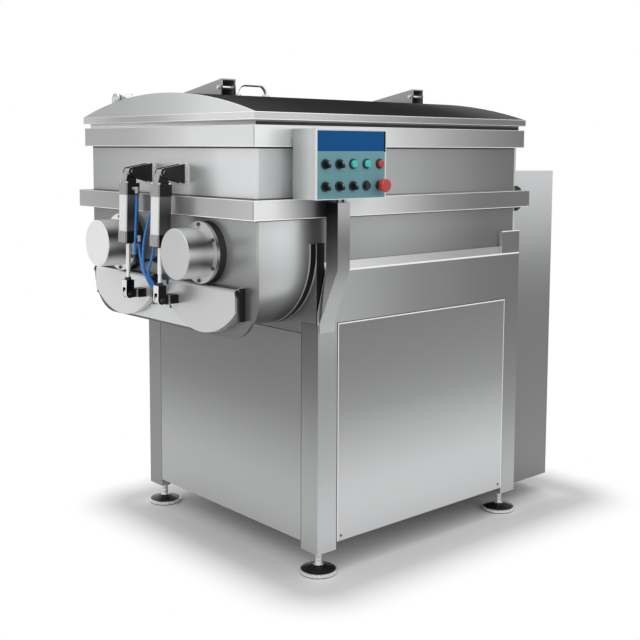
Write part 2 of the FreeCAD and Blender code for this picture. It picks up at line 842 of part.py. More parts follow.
def make_outlet_seat():
    radius = outlet_radius + seat_margin
    half = door_width / 2
    seat = block(
        seat_x, trough_x0, near_y, far_y, shaft_height - radius, door_top - 2,
    )
    for y in (near_y, far_y):
        seat = seat.fuse(door_outline(y, seat_x, trough_x0, radius, half, door_top - 2))
    seat = seat.removeSplitter()
    for y in (near_y, far_y):
        seat = seat.cut(outlet_opening(y, seat_x - 1, trough_x0 + 1, 0.0))
    write("outlet_seat", [seat])
    gaskets = []
    for y in (near_y, far_y):
        outer = outlet_opening(y, seat_x - gasket_thickness, seat_x, gasket_width)
        inner = outlet_opening(y, seat_x - gasket_thickness - 1, seat_x + 1, 0.0)
        gaskets.append(outer.cut(inner))
    write("door_gaskets", gaskets)


def horn(y):
    root_x = door_front_x
    half = horn_height / 2
    tip_r = half
    tongue = block(horn_x, root_x, y - tongue_width / 2, y + tongue_width / 2, horn_z - half, horn_z + half)
    nose = rod_y(horn_x, y - tongue_width / 2, y + tongue_width / 2, horn_z, 2 * tip_r)
    heel = block(
        horn_x + fork_width / 2 + slot_length + 2, root_x, y - horn_width / 2, y + horn_width / 2,
        horn_z - half, horn_z + half,
    )
    whole = join([tongue, nose, heel])
    aim = math.degrees(math.atan2(horn_drop, hinge_x - horn_x))
    wide = link_pin_diameter + slot_play
    slot = block(0, slot_length, -tongue_width, tongue_width, -wide / 2, wide / 2)
    slot = slot.fuse(rod_y(0, -tongue_width, tongue_width, 0, wide))
    slot = slot.fuse(rod_y(slot_length, -tongue_width, tongue_width, 0, wide))
    slot.rotate(V(0, 0, 0), V(0, 1, 0), -aim)
    drop = math.radians(aim)
    slot.translate(V(horn_x + slot_shift * math.sin(drop), y, horn_z - slot_shift * math.cos(drop)))
    return whole.cut(slot)


def make_doors():
    radius = outlet_radius + door_margin
    half = door_width / 2
    for name, (y, cylinder_y) in doors.items():
        plate = door_outline(y, door_front_x, door_back_x, radius, half, hinge_z)
        knuckle = rod_y(hinge_x, y - half, y + half, hinge_z, door_thickness)
        plate = plate.fuse(knuckle).removeSplitter()
        hole = door_pin_diameter + 2 * running_clearance
        plate = plate.cut(rod_y(hinge_x, y - half - 1, y + half + 1, hinge_z, hole))
        write("door_" + name, [plate, horn(cylinder_y)])
    ears = []
    for y in (near_y, far_y):
        for side in (-1, 1):
            inner = y + side * (half + 1)
            outer = inner + side * door_ear_thickness
            y0, y1 = min(inner, outer), max(inner, outer)
            head = rod_y(hinge_x, y0, y1, hinge_z, 2 * (seat_x - hinge_x) - 0.6)
            seat_face = seat_x if (mid_y - y) * side > 0 else trough_x0
            arm = block(hinge_x, seat_face, y0, y1, hinge_z - 15, hinge_z + 15)
            leg = block(door_back_x - 11, seat_face, y0, y1, hinge_z - door_ear_drop, hinge_z)
            pin_y = sorted((outer, inner - side * door_pin_length))
            pin = rod_y(hinge_x, pin_y[0], pin_y[1], hinge_z, door_pin_diameter)
            cap_y = sorted((outer, outer + side * 4))
            cap = rod_y(hinge_x, cap_y[0], cap_y[1], hinge_z, 18)
            ears.append(join([head, arm, leg, pin, cap]))
    write("door_hinge_ears", ears)


def make_cylinder_brackets():
    solids = []
    for y, cylinder_y in doors.values():
        z1 = pivot_z + 27
        z0 = z1 - bracket_height
        x0 = trough_x0 - bracket_plate
        plate = block(x0, trough_x0, cylinder_y - bracket_width / 2, cylinder_y + bracket_width / 2, z0, z1)
        cheeks = []
        for side in (-1, 1):
            inner = cylinder_y + side * (cylinder_section / 4 + 1)
            outer = inner + side * bracket_cheek
            y0 = min(inner, outer)
            wedge = prism([
                (x0, y0, z0 + 1), (x0, y0, z1 - 1), (pivot_x, y0, pivot_z + 14), (pivot_x, y0, pivot_z - 14),
            ], (0, bracket_cheek, 0))
            wedge = wedge.fuse(rod_y(pivot_x, y0, y0 + bracket_cheek, pivot_z, 28))
            cheeks.append(wedge)
        pin = rod_y(
            pivot_x, cylinder_y - cylinder_section / 4 - bracket_cheek - 6,
            cylinder_y + cylinder_section / 4 + bracket_cheek + 6, pivot_z, link_pin_diameter,
        )
        solids.append(join([plate] + cheeks + [pin]))
    write("cylinder_brackets", solids)


def lean_angle():
    return math.atan2(pivot_x - horn_x, pivot_z - horn_z)


def on_cylinder(dx, dz):
    a = lean_angle()
    return pivot_x + dx * math.cos(a) + dz * math.sin(a), pivot_z - dx * math.sin(a) + dz * math.cos(a)


def lean_over(shape, y):
    shape.rotate(V(pivot_x, y, pivot_z), V(0, 1, 0), math.degrees(lean_angle()))
    return shape


def chamfered_block(half, y, z0, z1, chamfer):
    body = block(pivot_x - half, pivot_x + half, y - half, y + half, z0, z1)
    return body.makeChamfer(chamfer, [e for e in body.Edges if e.BoundBox.ZLength > z1 - z0 - 1])


def cylinder_barrel_solids(name, y):
    half = cylinder_section / 2
    side = 1 if name == "near" else -1
    cap_top = pivot_z - cylinder_top_drop
    barrel_top = cap_top - cylinder_cap
    barrel_bottom = barrel_top - cylinder_barrel
    cap_bottom = barrel_bottom - cylinder_cap
    top = chamfered_block(half, y, barrel_top, cap_top, 4.0)
    low = chamfered_block(half, y, cap_bottom, barrel_bottom, 4.0)
    middle = chamfered_block(half - 2, y, barrel_bottom, barrel_top, 3.0)
    middle = middle.cut(rod_z(pivot_x, y, barrel_bottom - 1, barrel_top + 1, cylinder_bore))
    eye_half = cylinder_section / 4
    eye = prism([
        (pivot_x - 20, y - eye_half, cap_top), (pivot_x + 20, y - eye_half, cap_top),
        (pivot_x + 12, y - eye_half, pivot_z), (pivot_x - 12, y - eye_half, pivot_z),
    ], (0, 2 * eye_half, 0))
    eye = eye.fuse(rod_y(pivot_x, y - eye_half, y + eye_half, pivot_z, 24))
    hole = link_pin_diameter + 2 * running_clearance
    eye = eye.cut(rod_y(pivot_x, y - half, y + half, pivot_z, hole))
    gland = rod_diameter + 2 * running_clearance
    low = low.cut(rod_z(pivot_x, y, cap_bottom - 1, barrel_bottom + 1, gland))
    solids = [join([top, eye]), middle, low]
    for end, z in (("top", barrel_top + cylinder_cap / 2), ("low", barrel_bottom - cylinder_cap / 2)):
        dx, reach = port_places[name, end]
        wall_y = y + side * half
        out_y = wall_y + side * reach
        y_low, y_high = sorted((wall_y, out_y))
        x = pivot_x + dx
        banjo = rod_y(x, y_low, y_high, z, 10)
        solids.append(join([banjo, rod_z(x, out_y, z - port_drop, z + 6, port_diameter)]))
    return [lean_over(solid, y) for solid in solids]


def rod_solid(y):
    piston_z = pivot_z - cylinder_top_drop - cylinder_cap - cylinder_barrel + 2
    thread_low = horn_z + fork_height - 14
    thread_top = horn_z + fork_height + rod_thread_length
    half = fork_width / 2
    rod = rod_z(pivot_x, y, thread_top, piston_z + 2, rod_diameter)
    thread = rod_z(pivot_x, y, thread_low, thread_top, rod_thread_diameter)
    piston = rod_z(pivot_x, y, piston_z, piston_z + piston_length, cylinder_bore - 2 * running_clearance)
    nut = rod_z(pivot_x, y, horn_z + fork_height, horn_z + fork_height + 8, 20)
    gap = tongue_width / 2 + 0.5
    bridge = block(
        pivot_x - half, pivot_x + half, y - gap - fork_cheek, y + gap + fork_cheek,
        horn_z + fork_height - 24, horn_z + fork_height,
    )
    pieces = [rod, thread, piston, nut, bridge]
    for y_low in (y - gap - fork_cheek, y + gap):
        y_high = y_low + fork_cheek
        pieces.append(block(
            pivot_x - half, pivot_x + half, y_low, y_high, horn_z, horn_z + fork_height - 20,
        ))
        pieces.append(rod_y(pivot_x, y_low, y_high, horn_z, fork_width))
    end = gap + fork_cheek + 4
    pieces.append(rod_y(pivot_x, y - end, y + end, horn_z, link_pin_diameter))
    drive = join(pieces)
    stretch = math.hypot(pivot_x - horn_x, pivot_z - horn_z) - (pivot_z - horn_z)
    drive.translate(V(0, 0, -stretch))
    return lean_over(drive, y)


def make_cylinders():
    for name, (y, cylinder_y) in doors.items():
        write("cylinder_" + name, cylinder_barrel_solids(name, cylinder_y))
        write("rod_" + name, [rod_solid(cylinder_y)])


def manifold_outlets():
    reach = manifold_stub_length * math.sqrt(0.5)
    return [
        V(manifold_x - reach, mid_y - manifold_centre + k * manifold_pitch, manifold_z + reach)
        for k in (-1, 0, 1)
    ]


def make_air_manifold():
    y = mid_y - manifold_centre
    half = manifold_pitch + 10
    body = block(manifold_x - 8, seat_x, y - half, y + half, manifold_z - 16, manifold_z + 8)
    stubs = []
    for outlet in manifold_outlets():
        stub = Part.makeCylinder(5.5, manifold_stub_length, V(0, 0, 0), V(-1, 0, 1))
        stub.translate(V(manifold_x, outlet.y, manifold_z))
        stubs.append(stub)
    x, z = on_cylinder(0, wall_fitting_drop)
    y = doors["far"][1] - cylinder_section / 2 - port_places["far", "top"][1] + wall_fitting_shift
    elbow = rod_z(x, y, z - 24, z, port_diameter)
    tail = rod_x(x, trough_x0, y, z - 16, 10)
    collar = rod_x(trough_x0 - 12, trough_x0, y, z - 16, 22)
    write("air_manifold", [join([body] + stubs), join([elbow, tail, collar])])


# Air hoses: each follows a route of straight runs joined by tangent arcs

def hose_start(name, end):
    dx, reach = port_places[name, end]
    mid_cap = cylinder_top_drop + cylinder_cap / 2
    if end == "low":
        mid_cap += cylinder_cap + cylinder_barrel
    x, z = on_cylinder(dx, -mid_cap - port_drop)
    side = 1 if name == "near" else -1
    return V(x, doors[name][1] + side * (cylinder_section / 2 + reach), z)


def hose_routes():
    down = V(-math.sin(lean_angle()), 0, -math.cos(lean_angle()))
    right, middle, left = manifold_outlets()
    ends = {("near", "top"): middle, ("near", "low"): right, ("far", "low"): left}
    routes = {}
    for key, ways in hose_ways.items():
        start = hose_start(*key)
        drop = hose_long_drop if key == ("far", "top") else hose_drop
        route = [start, start + down * drop] + [start + V(*way) for way in ways]
        if key in ends:
            end = ends[key]
            route += [end + V(*hose_bends[key]), end + V(-hose_entry, 0, hose_entry), end]
        else:
            elbow_x, elbow_z = on_cylinder(0, wall_fitting_drop)
            elbow = V(elbow_x, start.y + wall_fitting_shift, elbow_z)
            route += [elbow + V(0, 0, 30), elbow]
        routes["air_hose_" + "_".join(key)] = route
    return routes


def tube(points, diameter):
    nodes = points
    edges = []
    radii = []
    start = nodes[0]
    for before, corner, after in zip(nodes, nodes[1:], nodes[2:]):
        back = (before - corner)
        ahead = (after - corner)
        shorter = min(back.Length, ahead.Length)
        turn = math.pi - back.getAngle(ahead)
        trim = 0.45 * shorter
        radius = trim / math.tan(turn / 2)
        radii.append(round(radius, 1))
        back.normalize()
        ahead.normalize()
        enter = corner + back * trim
        leave = corner + ahead * trim
        bisector = (back + ahead)
        bisector.normalize()
        centre = corner + bisector * (radius / math.cos(turn / 2))
        middle = centre + (corner - centre).normalize() * radius
        edges.append(Part.LineSegment(start, enter).toShape())
        edges.append(Part.Arc(enter, middle, leave).toShape())
        start = leave
    edges.append(Part.LineSegment(start, nodes[-1]).toShape())
    path = Part.Wire(edges)
    section = Part.Wire([Part.makeCircle(diameter / 2, nodes[0], nodes[1] - nodes[0])])
    solid = path.makePipeShell([section], True, True)
    expected = math.pi * diameter ** 2 / 4 * path.Length
    return solid, path.Length, radii, solid.Volume / expected


def make_air_hoses():
    for name, points in hose_routes().items():
        solid, length, radii, ratio = tube(points, hose_diameter)
        print(name, "length", round(length, 1), "radii", radii, "volume ratio", round(ratio, 4))
        write(name, [solid])


# Lid

def dome_profile(y0, y1, z_edge, crown, x):
    edges = [
        Part.Arc(V(x, y0, z_edge), V(x, mid_y, crown), V(x, y1, z_edge)).toShape(),
        Part.LineSegment(V(x, y1, z_edge), V(x, y1, lid_bottom)).toShape(),
        Part.LineSegment(V(x, y1, lid_bottom), V(x, y0, lid_bottom)).toShape(),
        Part.LineSegment(V(x, y0, lid_bottom), V(x, y0, z_edge)).toShape(),
    ]
    return Part.Face(Part.Wire(edges))


def dome_z(y, offset=0.0):
    centre = crown_z - dome_radius
    return centre + math.sqrt((dome_radius - offset) ** 2 - (y - mid_y) ** 2)


def lid_outside():
    return dome_profile(lid_y0, lid_y1, lid_flange_top, crown_z, lid_x0).extrude(V(lid_x1 - lid_x0, 0, 0))


def make_lid_shell():
    inset = lid_flange_width
    y0, y1 = lid_y0 + inset, lid_y1 - inset
    under = lid_flange_top - dome_sheet
    cavity = dome_profile(
        y0, y1, dome_z(y0, dome_sheet), crown_z - dome_sheet, lid_x0 + dome_sheet,
    ).extrude(V(lid_x1 - lid_x0 - 2 * dome_sheet, 0, 0))
    mouth = block(lid_x0 + inset, lid_x1 - inset, y0, y1, lid_bottom - 1, under)
    ends = block(lid_x0, lid_x1, y0, y1, under, crown_z + 1)
    whole = lid_outside().cut(mouth).cut(cavity.common(ends))
    write("lid_shell", [whole])


def make_lid_seal():
    inset = rim_reach - 2
    grow = lid_reach - inset
    outer = block(
        lid_x0 + grow + 12, lid_x1 - grow - 12, lid_y0 + grow + 12, lid_y1 - grow - 12,
        trough_top + running_clearance, lid_bottom,
    )
    w = lid_seal_width
    box = outer.BoundBox
    inner = block(box.XMin + w, box.XMax - w, box.YMin + w, box.YMax - w, box.ZMin - 1, box.ZMax + 1)
    write("lid_seal", [outer.cut(inner)])


def arm_side(y_front):
    top = dome_z(y_front) + arm_front_height
    return [
        (y_front, dome_z(y_front) - 1), (y_front, top),
        (mid_y + arm_waist, dome_z(mid_y + arm_waist) + arm_waist_height),
        (mid_y + arm_back, dome_z(mid_y + arm_back) + arm_back_height), (lid_hinge_y - 70, lid_hinge_z + 2),
        (lid_hinge_y - 12, lid_hinge_z + hinge_ear_radius - 3), (lid_hinge_y, lid_hinge_z - 20),
        (lid_hinge_y - 34, lid_hinge_z - 22), (lid_y1 - 70, dome_z(lid_y1 - 70) - 1),
    ]


def make_lid_arms():
    dome = lid_outside()
    arms = []
    pins = []
    y_front = mid_y - arm_front
    hollow_waist = arm_waist - arm_waist_wall
    for centre in arm_centres:
        x0 = centre - arm_width / 2
        body = prism([(x0, y, z) for y, z in arm_side(y_front)], (arm_width, 0, 0))
        eye = Part.makeCylinder(
            hinge_ear_radius - 1, arm_width, V(x0, lid_hinge_y, lid_hinge_z), V(1, 0, 0),
        )
        body = body.fuse(eye).removeSplitter()
        hollow = prism([
            (x0 + arm_sheet, y_front - 1, dome_z(y_front) - 30),
            (x0 + arm_sheet, y_front - 1, dome_z(y_front) + arm_front_height - arm_sheet + 0.2),
            (x0 + arm_sheet, mid_y + hollow_waist, dome_z(mid_y + hollow_waist) + arm_waist_height - arm_sheet),
            (x0 + arm_sheet, mid_y + arm_hollow_end, dome_z(mid_y + arm_hollow_end) - 30),
        ], (arm_width - 2 * arm_sheet, 0, 0))
        body = body.cut(hollow).cut(dome)
        hole = hinge_pin_diameter
        body = body.cut(Part.makeCylinder(
            hole / 2, arm_width + 2, V(x0 - 1, lid_hinge_y, lid_hinge_z), V(1, 0, 0),
        ))
        arms.append(body)
        grip = Part.makeCylinder(
            grip_diameter / 2, arm_width + 2 * pin_overhang,
            V(x0 - pin_overhang, y_front + grip_setback, dome_z(y_front) + grip_rise), V(1, 0, 0),
        )
        pins.append(grip)
        reach = arm_width / 2 + arm_gap + hinge_cheek + hinge_pin_end
        pins.append(Part.makeCylinder(
            hinge_pin_diameter / 2, 2 * reach, V(centre - reach, lid_hinge_y, lid_hinge_z), V(1, 0, 0),
        ))
    cut_arms = [arm.cut(pins[0]).cut(pins[2]) for arm in arms]
    write("lid_arms", cut_arms)
    write("lid_pins", pins)


def make_hinge_brackets():
    solids = []
    foot_z = belt_bottom + belt_height
    for centre in arm_centres:
        plates = []
        for side in (-1, 1):
            inner = centre + side * (arm_width / 2 + arm_gap)
            x0 = min(inner, inner + side * hinge_cheek)
            face_y = lid_y1 + 4
            outline = [
                (x0, trough_y1, foot_z), (x0, trough_y1 + belt_reach, foot_z),
                (x0, lid_hinge_y + 20, foot_z + 60), (x0, lid_hinge_y + hinge_ear_radius, lid_hinge_z),
                (x0, face_y, lid_hinge_z), (x0, face_y, trough_top - rim_height - 6),
                (x0, trough_y1, trough_top - rim_height - 20),
            ]
            plate = prism(outline, (hinge_cheek, 0, 0))
            ear = Part.makeCylinder(
                hinge_ear_radius, hinge_cheek, V(x0, lid_hinge_y, lid_hinge_z), V(1, 0, 0),
            )
            front_cut = block(x0 - 1, x0 + hinge_cheek + 1, mid_y, face_y, trough_top, lid_hinge_z - 4)
            plate = plate.fuse(ear.cut(front_cut)).removeSplitter()
            hole = hinge_pin_diameter + 2 * running_clearance
            plates.append(plate.cut(Part.makeCylinder(
                hole / 2, hinge_cheek + 2, V(x0 - 1, lid_hinge_y, lid_hinge_z), V(1, 0, 0),
            )))
        web = block(
            centre - arm_width / 2 - arm_gap, centre + arm_width / 2 + arm_gap, trough_y1, trough_y1 + 6,
            foot_z, trough_top - rim_height - 20,
        )
        solids.append(join(plates + [web]))
    write("lid_hinge_brackets", solids)


def make_lid_vacuum_line():
    x0 = arm_centres[0] + vacuum_line_offset
    x1 = x0 + vacuum_line_span
    y = mid_y + vacuum_line_setback
    base = dome_z(y)
    top = base + vacuum_line_rise
    bend = vacuum_line_bend
    short = bend * vacuum_line_shoulder
    legs = [
        Part.LineSegment(V(x0, y, base), V(x0, y, top - bend)).toShape(),
        Part.Arc(V(x0, y, top - bend), V(x0 + short, y, top - short), V(x0 + bend, y, top)).toShape(),
        Part.LineSegment(V(x0 + bend, y, top), V(x1 - bend, y, top)).toShape(),
        Part.Arc(V(x1 - bend, y, top), V(x1 - short, y, top - short), V(x1, y, top - bend)).toShape(),
        Part.LineSegment(V(x1, y, top - bend), V(x1, y, base)).toShape(),
    ]
    path = Part.Wire(legs)
    section = Part.Wire([Part.makeCircle(vacuum_line_diameter / 2, V(x0, y, base), V(0, 0, 1))])
    pipe = path.makePipeShell([section], True, True)
    nuts = [rod_z(x, y, base - 1, base + vacuum_nut_height, vacuum_nut_diameter) for x in (x0, x1)]
    write("lid_vacuum_line", [join([pipe] + nuts).cut(lid_outside())])


# Control post, box and controls

def make_control_post():
    t = panel_thickness
    back = belt_y0
    foot_y = base_y0
    foot_z = leg_top + 4
    wide = 6.0
    front = prism([
        (post_x0, post_y0, post_foot), (post_x1, post_y0, post_foot),
        (post_x1, post_y0, post_top), (post_x0, post_y0, post_top),
    ], (0, t, 0))
    lower = [
        (post_x0 - wide, foot_y - t, foot_z - 30), (post_x1 + wide, foot_y - t, foot_z - 30),
        (post_x1 + wide, foot_y - t, foot_z), (post_x0 - wide, foot_y - t, foot_z),
    ]
    tab = prism(lower, (0, t, 0))
    slope_low = [
        V(post_x0 - wide, foot_y - t, foot_z), V(post_x1 + wide, foot_y - t, foot_z),
        V(post_x1 + wide, foot_y, foot_z), V(post_x0 - wide, foot_y, foot_z),
        V(post_x0 - wide, foot_y - t, foot_z),
    ]
    slope_high = [
        V(post_x0, post_y0, post_foot), V(post_x1, post_y0, post_foot),
        V(post_x1, post_y0 + t, post_foot), V(post_x0, post_y0 + t, post_foot),
        V(post_x0, post_y0, post_foot),
    ]
    slope = Part.makeLoft([Part.makePolygon(slope_low), Part.makePolygon(slope_high)], True, True)
    cheeks = []
    for x in (post_x0, post_x1 - t):
        cheeks.append(prism([
            (x, post_y0, post_top), (x, back, post_top), (x, back, post_foot + 4),
            (x, foot_y, foot_z), (x, foot_y - t, foot_z), (x, post_y0, post_foot),
        ], (t, 0, 0)))
    lid = block(post_x0, post_x1, post_y0, back, post_top - t, post_top)
    spacers = [
        rod_z(post_x0 + dx, post_y0 + 14, post_top, box_bottom, 11) for dx in (14, post_width - 12)
    ]
    stay = block(post_x0 + 12, post_x1 - 12, back - 8, back, box_bottom - 22, post_top - t)
    write("control_post", [join([front, tab, slope, lid, stay] + cheeks)] + spacers)


def control_centres():
    centres = []
    for row in range(2):
        for column in range(control_columns):
            x = box_x0 + control_first_column + column * control_pitch
            z = box_bottom + control_first_row + (1 - row) * control_row_pitch
            centres.append((x, z))
    return centres


def make_control_box():
    s = box_sheet
    outer = block(box_x0, box_x1, box_y0, box_y1, box_bottom, box_top)
    inner = block(box_x0 + s, box_x1 - s, box_y0 - 1, box_y1 - s, box_bottom + s, box_top - s)
    stays = []
    for x in (box_x0 + 50, box_x1 - 90):
        stays.append(block(x, x + 40, box_y1, trough_y0, box_bottom + 10, trough_top - rim_height - 30))
    write("control_box", [join([outer.cut(inner)] + stays)])
    plate = block(
        box_x0 + s, box_x1 - s, box_y0, box_y0 + control_plate, box_bottom + s, box_top - s,
    )
    bezels = []
    for x, z in control_centres():
        plate = plate.cut(rod_y(x, box_y0 - 1, box_y0 + control_plate + 1, z, control_hole))
        head = rod_y(x, box_y0 - bezel_height, box_y0, z, bezel_diameter)
        head = head.makeChamfer(1.5, [e for e in head.Edges if e.BoundBox.YMax < box_y0 - bezel_height + 0.01])
        neck = rod_y(x, box_y0, box_y0 + stem_length + 8, z, control_hole)
        hole = rod_y(x, box_y0 - bezel_height - 1, box_y0 + stem_length + 6, z,
                     control_stem + 2 * running_clearance)
        well = rod_y(x, box_y0 - bezel_height - 1, box_y0 - bezel_height + button_travel + 0.5, z,
                     control_hole - 1)
        bezels.append(head.fuse(neck).cut(hole).cut(well))
    write("control_panel", [plate])
    write("control_bezels", bezels)


def make_selector(name, x, z, turn):
    face = box_y0 - bezel_height
    cap = rod_y(x, face - 4, face - running_clearance, z, 20)
    grip = block(x - 4, x + 4, face - knob_height, face - 2, z - 10.5, z + 10.5)
    grip = grip.makeFillet(2, [e for e in grip.Edges if e.BoundBox.YLength < 0.01
                               and e.BoundBox.YMax < face - knob_height + 0.1])
    stem = rod_y(x, face - 3, box_y0 + stem_length - 4, z, control_stem)
    whole = join([cap, grip, stem])
    whole.rotate(V(x, 0, z), V(0, 1, 0), turn)
    write(name, [whole])


def make_button(name, x, z, diameter):
    face = box_y0 - bezel_height
    head = rod_y(x, face - button_height, face, z, diameter)
    head = head.makeFillet(2, [e for e in head.Edges if e.BoundBox.YMax < face - button_height + 0.01])
    stem = rod_y(x, face - 1, box_y0 + stem_length - 4 - button_travel, z, control_stem)
    write(name, [join([head, stem])])


def make_emergency_stop(x, z):
    face = box_y0 - bezel_height
    tip = face - stop_height
    cap = rod_y(x, tip, tip + stop_cap_height, z, stop_diameter)
    cap = cap.makeFillet(5, [e for e in cap.Edges if e.BoundBox.YMax < tip + 0.01])
    cone = Part.makeCone(
        stop_neck / 2, stop_diameter / 2 - 2, stop_height - stop_cap_height - button_travel,
        V(x, face - button_travel, z), V(0, -1, 0),
    )
    stem = rod_y(x, face - button_travel - 1, box_y0 + stem_length - 4 - button_travel, z, control_stem)
    write("emergency_stop", [join([cap, cone, stem])])


def make_controls():
    centres = control_centres()
    selectors = {"selector_1": 0, "selector_2": 1, "selector_3": 5, "selector_4": 6, "selector_5": 7}
    for name, index in selectors.items():
        make_selector(name, centres[index][0], centres[index][1], -30)
    small = control_hole - 1 - 2 * running_clearance
    buttons = {"start_button_1": 2, "start_button_2": 3, "stop_button": 4, "reset_button": 8}
    for name, index in buttons.items():
        make_button(name, centres[index][0], centres[index][1], small)
    make_emergency_stop(centres[9][0], centres[9][1])


os.makedirs("parts", exist_ok=True)
make_base_frame()
make_side_panels()
make_end_panels()
make_aprons()
make_trough_saddles()
make_levelling_feet()
make_trough_shell()
make_end_plates()
make_bands()
make_corner_buffers()
make_bearing_housings()
make_shaft_bearings()
make_paddle_shafts()
make_idle_gears()
make_drive_cabinet()
make_gearmotor()
make_vacuum_pump()
make_outlet_seat()
make_doors()
make_cylinder_brackets()
make_cylinders()
make_air_manifold()
make_air_hoses()
make_lid_shell()
make_lid_seal()
make_lid_arms()
make_hinge_brackets()
make_lid_vacuum_line()
make_control_post()
make_control_box()
make_controls()
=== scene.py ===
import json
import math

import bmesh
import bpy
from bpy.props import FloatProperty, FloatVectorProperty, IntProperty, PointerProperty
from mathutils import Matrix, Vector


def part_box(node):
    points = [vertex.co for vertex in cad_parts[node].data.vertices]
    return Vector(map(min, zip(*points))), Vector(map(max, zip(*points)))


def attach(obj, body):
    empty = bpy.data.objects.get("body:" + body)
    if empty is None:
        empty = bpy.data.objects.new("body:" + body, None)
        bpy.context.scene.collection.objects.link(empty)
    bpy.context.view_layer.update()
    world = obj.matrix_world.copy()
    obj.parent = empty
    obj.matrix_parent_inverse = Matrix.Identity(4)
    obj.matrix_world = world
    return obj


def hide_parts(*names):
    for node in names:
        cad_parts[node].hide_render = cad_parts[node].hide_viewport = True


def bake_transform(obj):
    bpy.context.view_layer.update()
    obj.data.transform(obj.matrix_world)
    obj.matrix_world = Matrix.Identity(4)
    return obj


bl_info = {
    "name": "Vacuum meat mixer",
    "version": (1, 0, 0),
    "blender": (4, 5, 0),
    "location": "View3D > Sidebar > Mixer",
    "description": "Finishes, air hoses and small parts of a twin-shaft vacuum meat mixer",
    "category": "Object",
}

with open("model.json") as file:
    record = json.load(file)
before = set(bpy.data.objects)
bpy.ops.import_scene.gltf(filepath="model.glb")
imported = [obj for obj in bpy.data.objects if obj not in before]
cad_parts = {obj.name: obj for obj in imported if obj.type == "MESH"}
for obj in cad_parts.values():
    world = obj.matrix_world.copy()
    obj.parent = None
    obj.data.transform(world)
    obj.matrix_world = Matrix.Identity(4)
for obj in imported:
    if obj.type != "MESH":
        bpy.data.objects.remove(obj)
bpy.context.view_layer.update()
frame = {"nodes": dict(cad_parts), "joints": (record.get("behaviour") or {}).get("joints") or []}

# Places read from the frame, in metres

JOINTS = {joint["name"]: joint for joint in frame["joints"]}


def pivot(joint):
    """The point that a hinge of the frame turns about."""
    return Vector(JOINTS[joint]["pos_m"])


def low(node):
    """The lowest corner of a node of the frame."""
    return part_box(node)[0]


def high(node):
    """The highest corner of a node of the frame."""
    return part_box(node)[1]


shaft_z = pivot("near_shaft_spin").z
near_y = pivot("near_shaft_spin").y
far_y = pivot("far_shaft_spin").y
mid_y = (near_y + far_y) / 2
plate_x = low("end_plate_discharge").x
flange_x = low("shaft_seals").x - 0.010
rim_low, rim_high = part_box("rim_band")
belt_low, belt_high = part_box("belt_band")
lid_low, lid_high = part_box("lid_shell")
base_low = low("base_frame")
panel_low, panel_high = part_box("control_panel")
box_low, box_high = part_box("control_box")
side_low, side_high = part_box("side_panels")
apron_top = high("aprons").z
door_hinge = pivot("near_door_hinge")
cylinder_pivots = {name: pivot(name + "_cylinder_swing") for name in ("near", "far")}
lid_flange_z = lid_low.z + 0.022

LEAN = math.radians(1.64)
FORK_PIN_X = -0.7435
FORK_PIN_Z = 0.841

# Routes of the air hoses, as in the part's source

HOSE_ROUTES = {
    "near_top": [
        (-0.7344, -0.0060, 1.1580), (-0.7351, -0.0060, 1.1340), (-0.7384, 0.0140, 1.0880),
        (-0.7444, 0.0360, 1.0260), (-0.7474, 0.0410, 0.9720), (-0.7474, 0.0380, 0.9220),
        (-0.7321, 0.0320, 0.8966), (-0.7151, 0.0310, 0.8666), (-0.6941, 0.0310, 0.8456),
    ],
    "near_low": [
        (-0.7387, -0.0080, 1.0071), (-0.7394, -0.0080, 0.9831), (-0.7427, 0.0040, 0.9501),
        (-0.7447, 0.0190, 0.9171), (-0.7301, 0.0210, 0.8946), (-0.7151, 0.0180, 0.8666),
        (-0.6941, 0.0180, 0.8456),
    ],
    "far_top": [
        (-0.7344, 0.0930, 1.1580), (-0.7356, 0.0930, 1.1160), (-0.7379, 0.0950, 1.0700),
        (-0.7384, 0.0970, 1.0260), (-0.7400, 0.0980, 0.9921), (-0.7400, 0.0980, 0.9621),
    ],
    "far_low": [
        (-0.7267, 0.0950, 1.0067), (-0.7274, 0.0950, 0.9828), (-0.7297, 0.0820, 0.9527),
        (-0.7347, 0.0660, 0.9227), (-0.7281, 0.0500, 0.8956), (-0.7151, 0.0440, 0.8666),
        (-0.6941, 0.0440, 0.8456),
    ],
}


class MixerSizes(bpy.types.PropertyGroup):
    """Sizes of the small parts."""

    hose_diameter: FloatProperty(
        name="Hose diameter", description="Outside diameter of an air hose", default=0.008, unit="LENGTH",
    )
    bolt_head: FloatProperty(
        name="Flange bolt head", description="Across the head of a bearing flange bolt", default=0.010,
        unit="LENGTH",
    )
    bolt_count: IntProperty(
        name="Flange bolts", description="Bolts round one bearing flange", default=6, min=3, max=12,
    )
    bolt_circle: FloatProperty(
        name="Bolt circle", description="Radius of the circle of flange bolts", default=0.0838,
        unit="LENGTH",
    )
    screw_head: FloatProperty(
        name="Panel screw head", description="Diameter of a panel screw's head", default=0.012,
        unit="LENGTH",
    )
    bead_radius: FloatProperty(
        name="Edge radius", description="Radius of the polished edge of a folded band", default=0.0012,
        unit="LENGTH",
    )
    thread_pitch: FloatProperty(
        name="Thread pitch", description="Pitch of the threads on rods and feet", default=0.0018,
        unit="LENGTH",
    )
    collar_width: FloatProperty(
        name="Collar width", description="Length of a push-in collar at a hose's end", default=0.005,
        unit="LENGTH",
    )


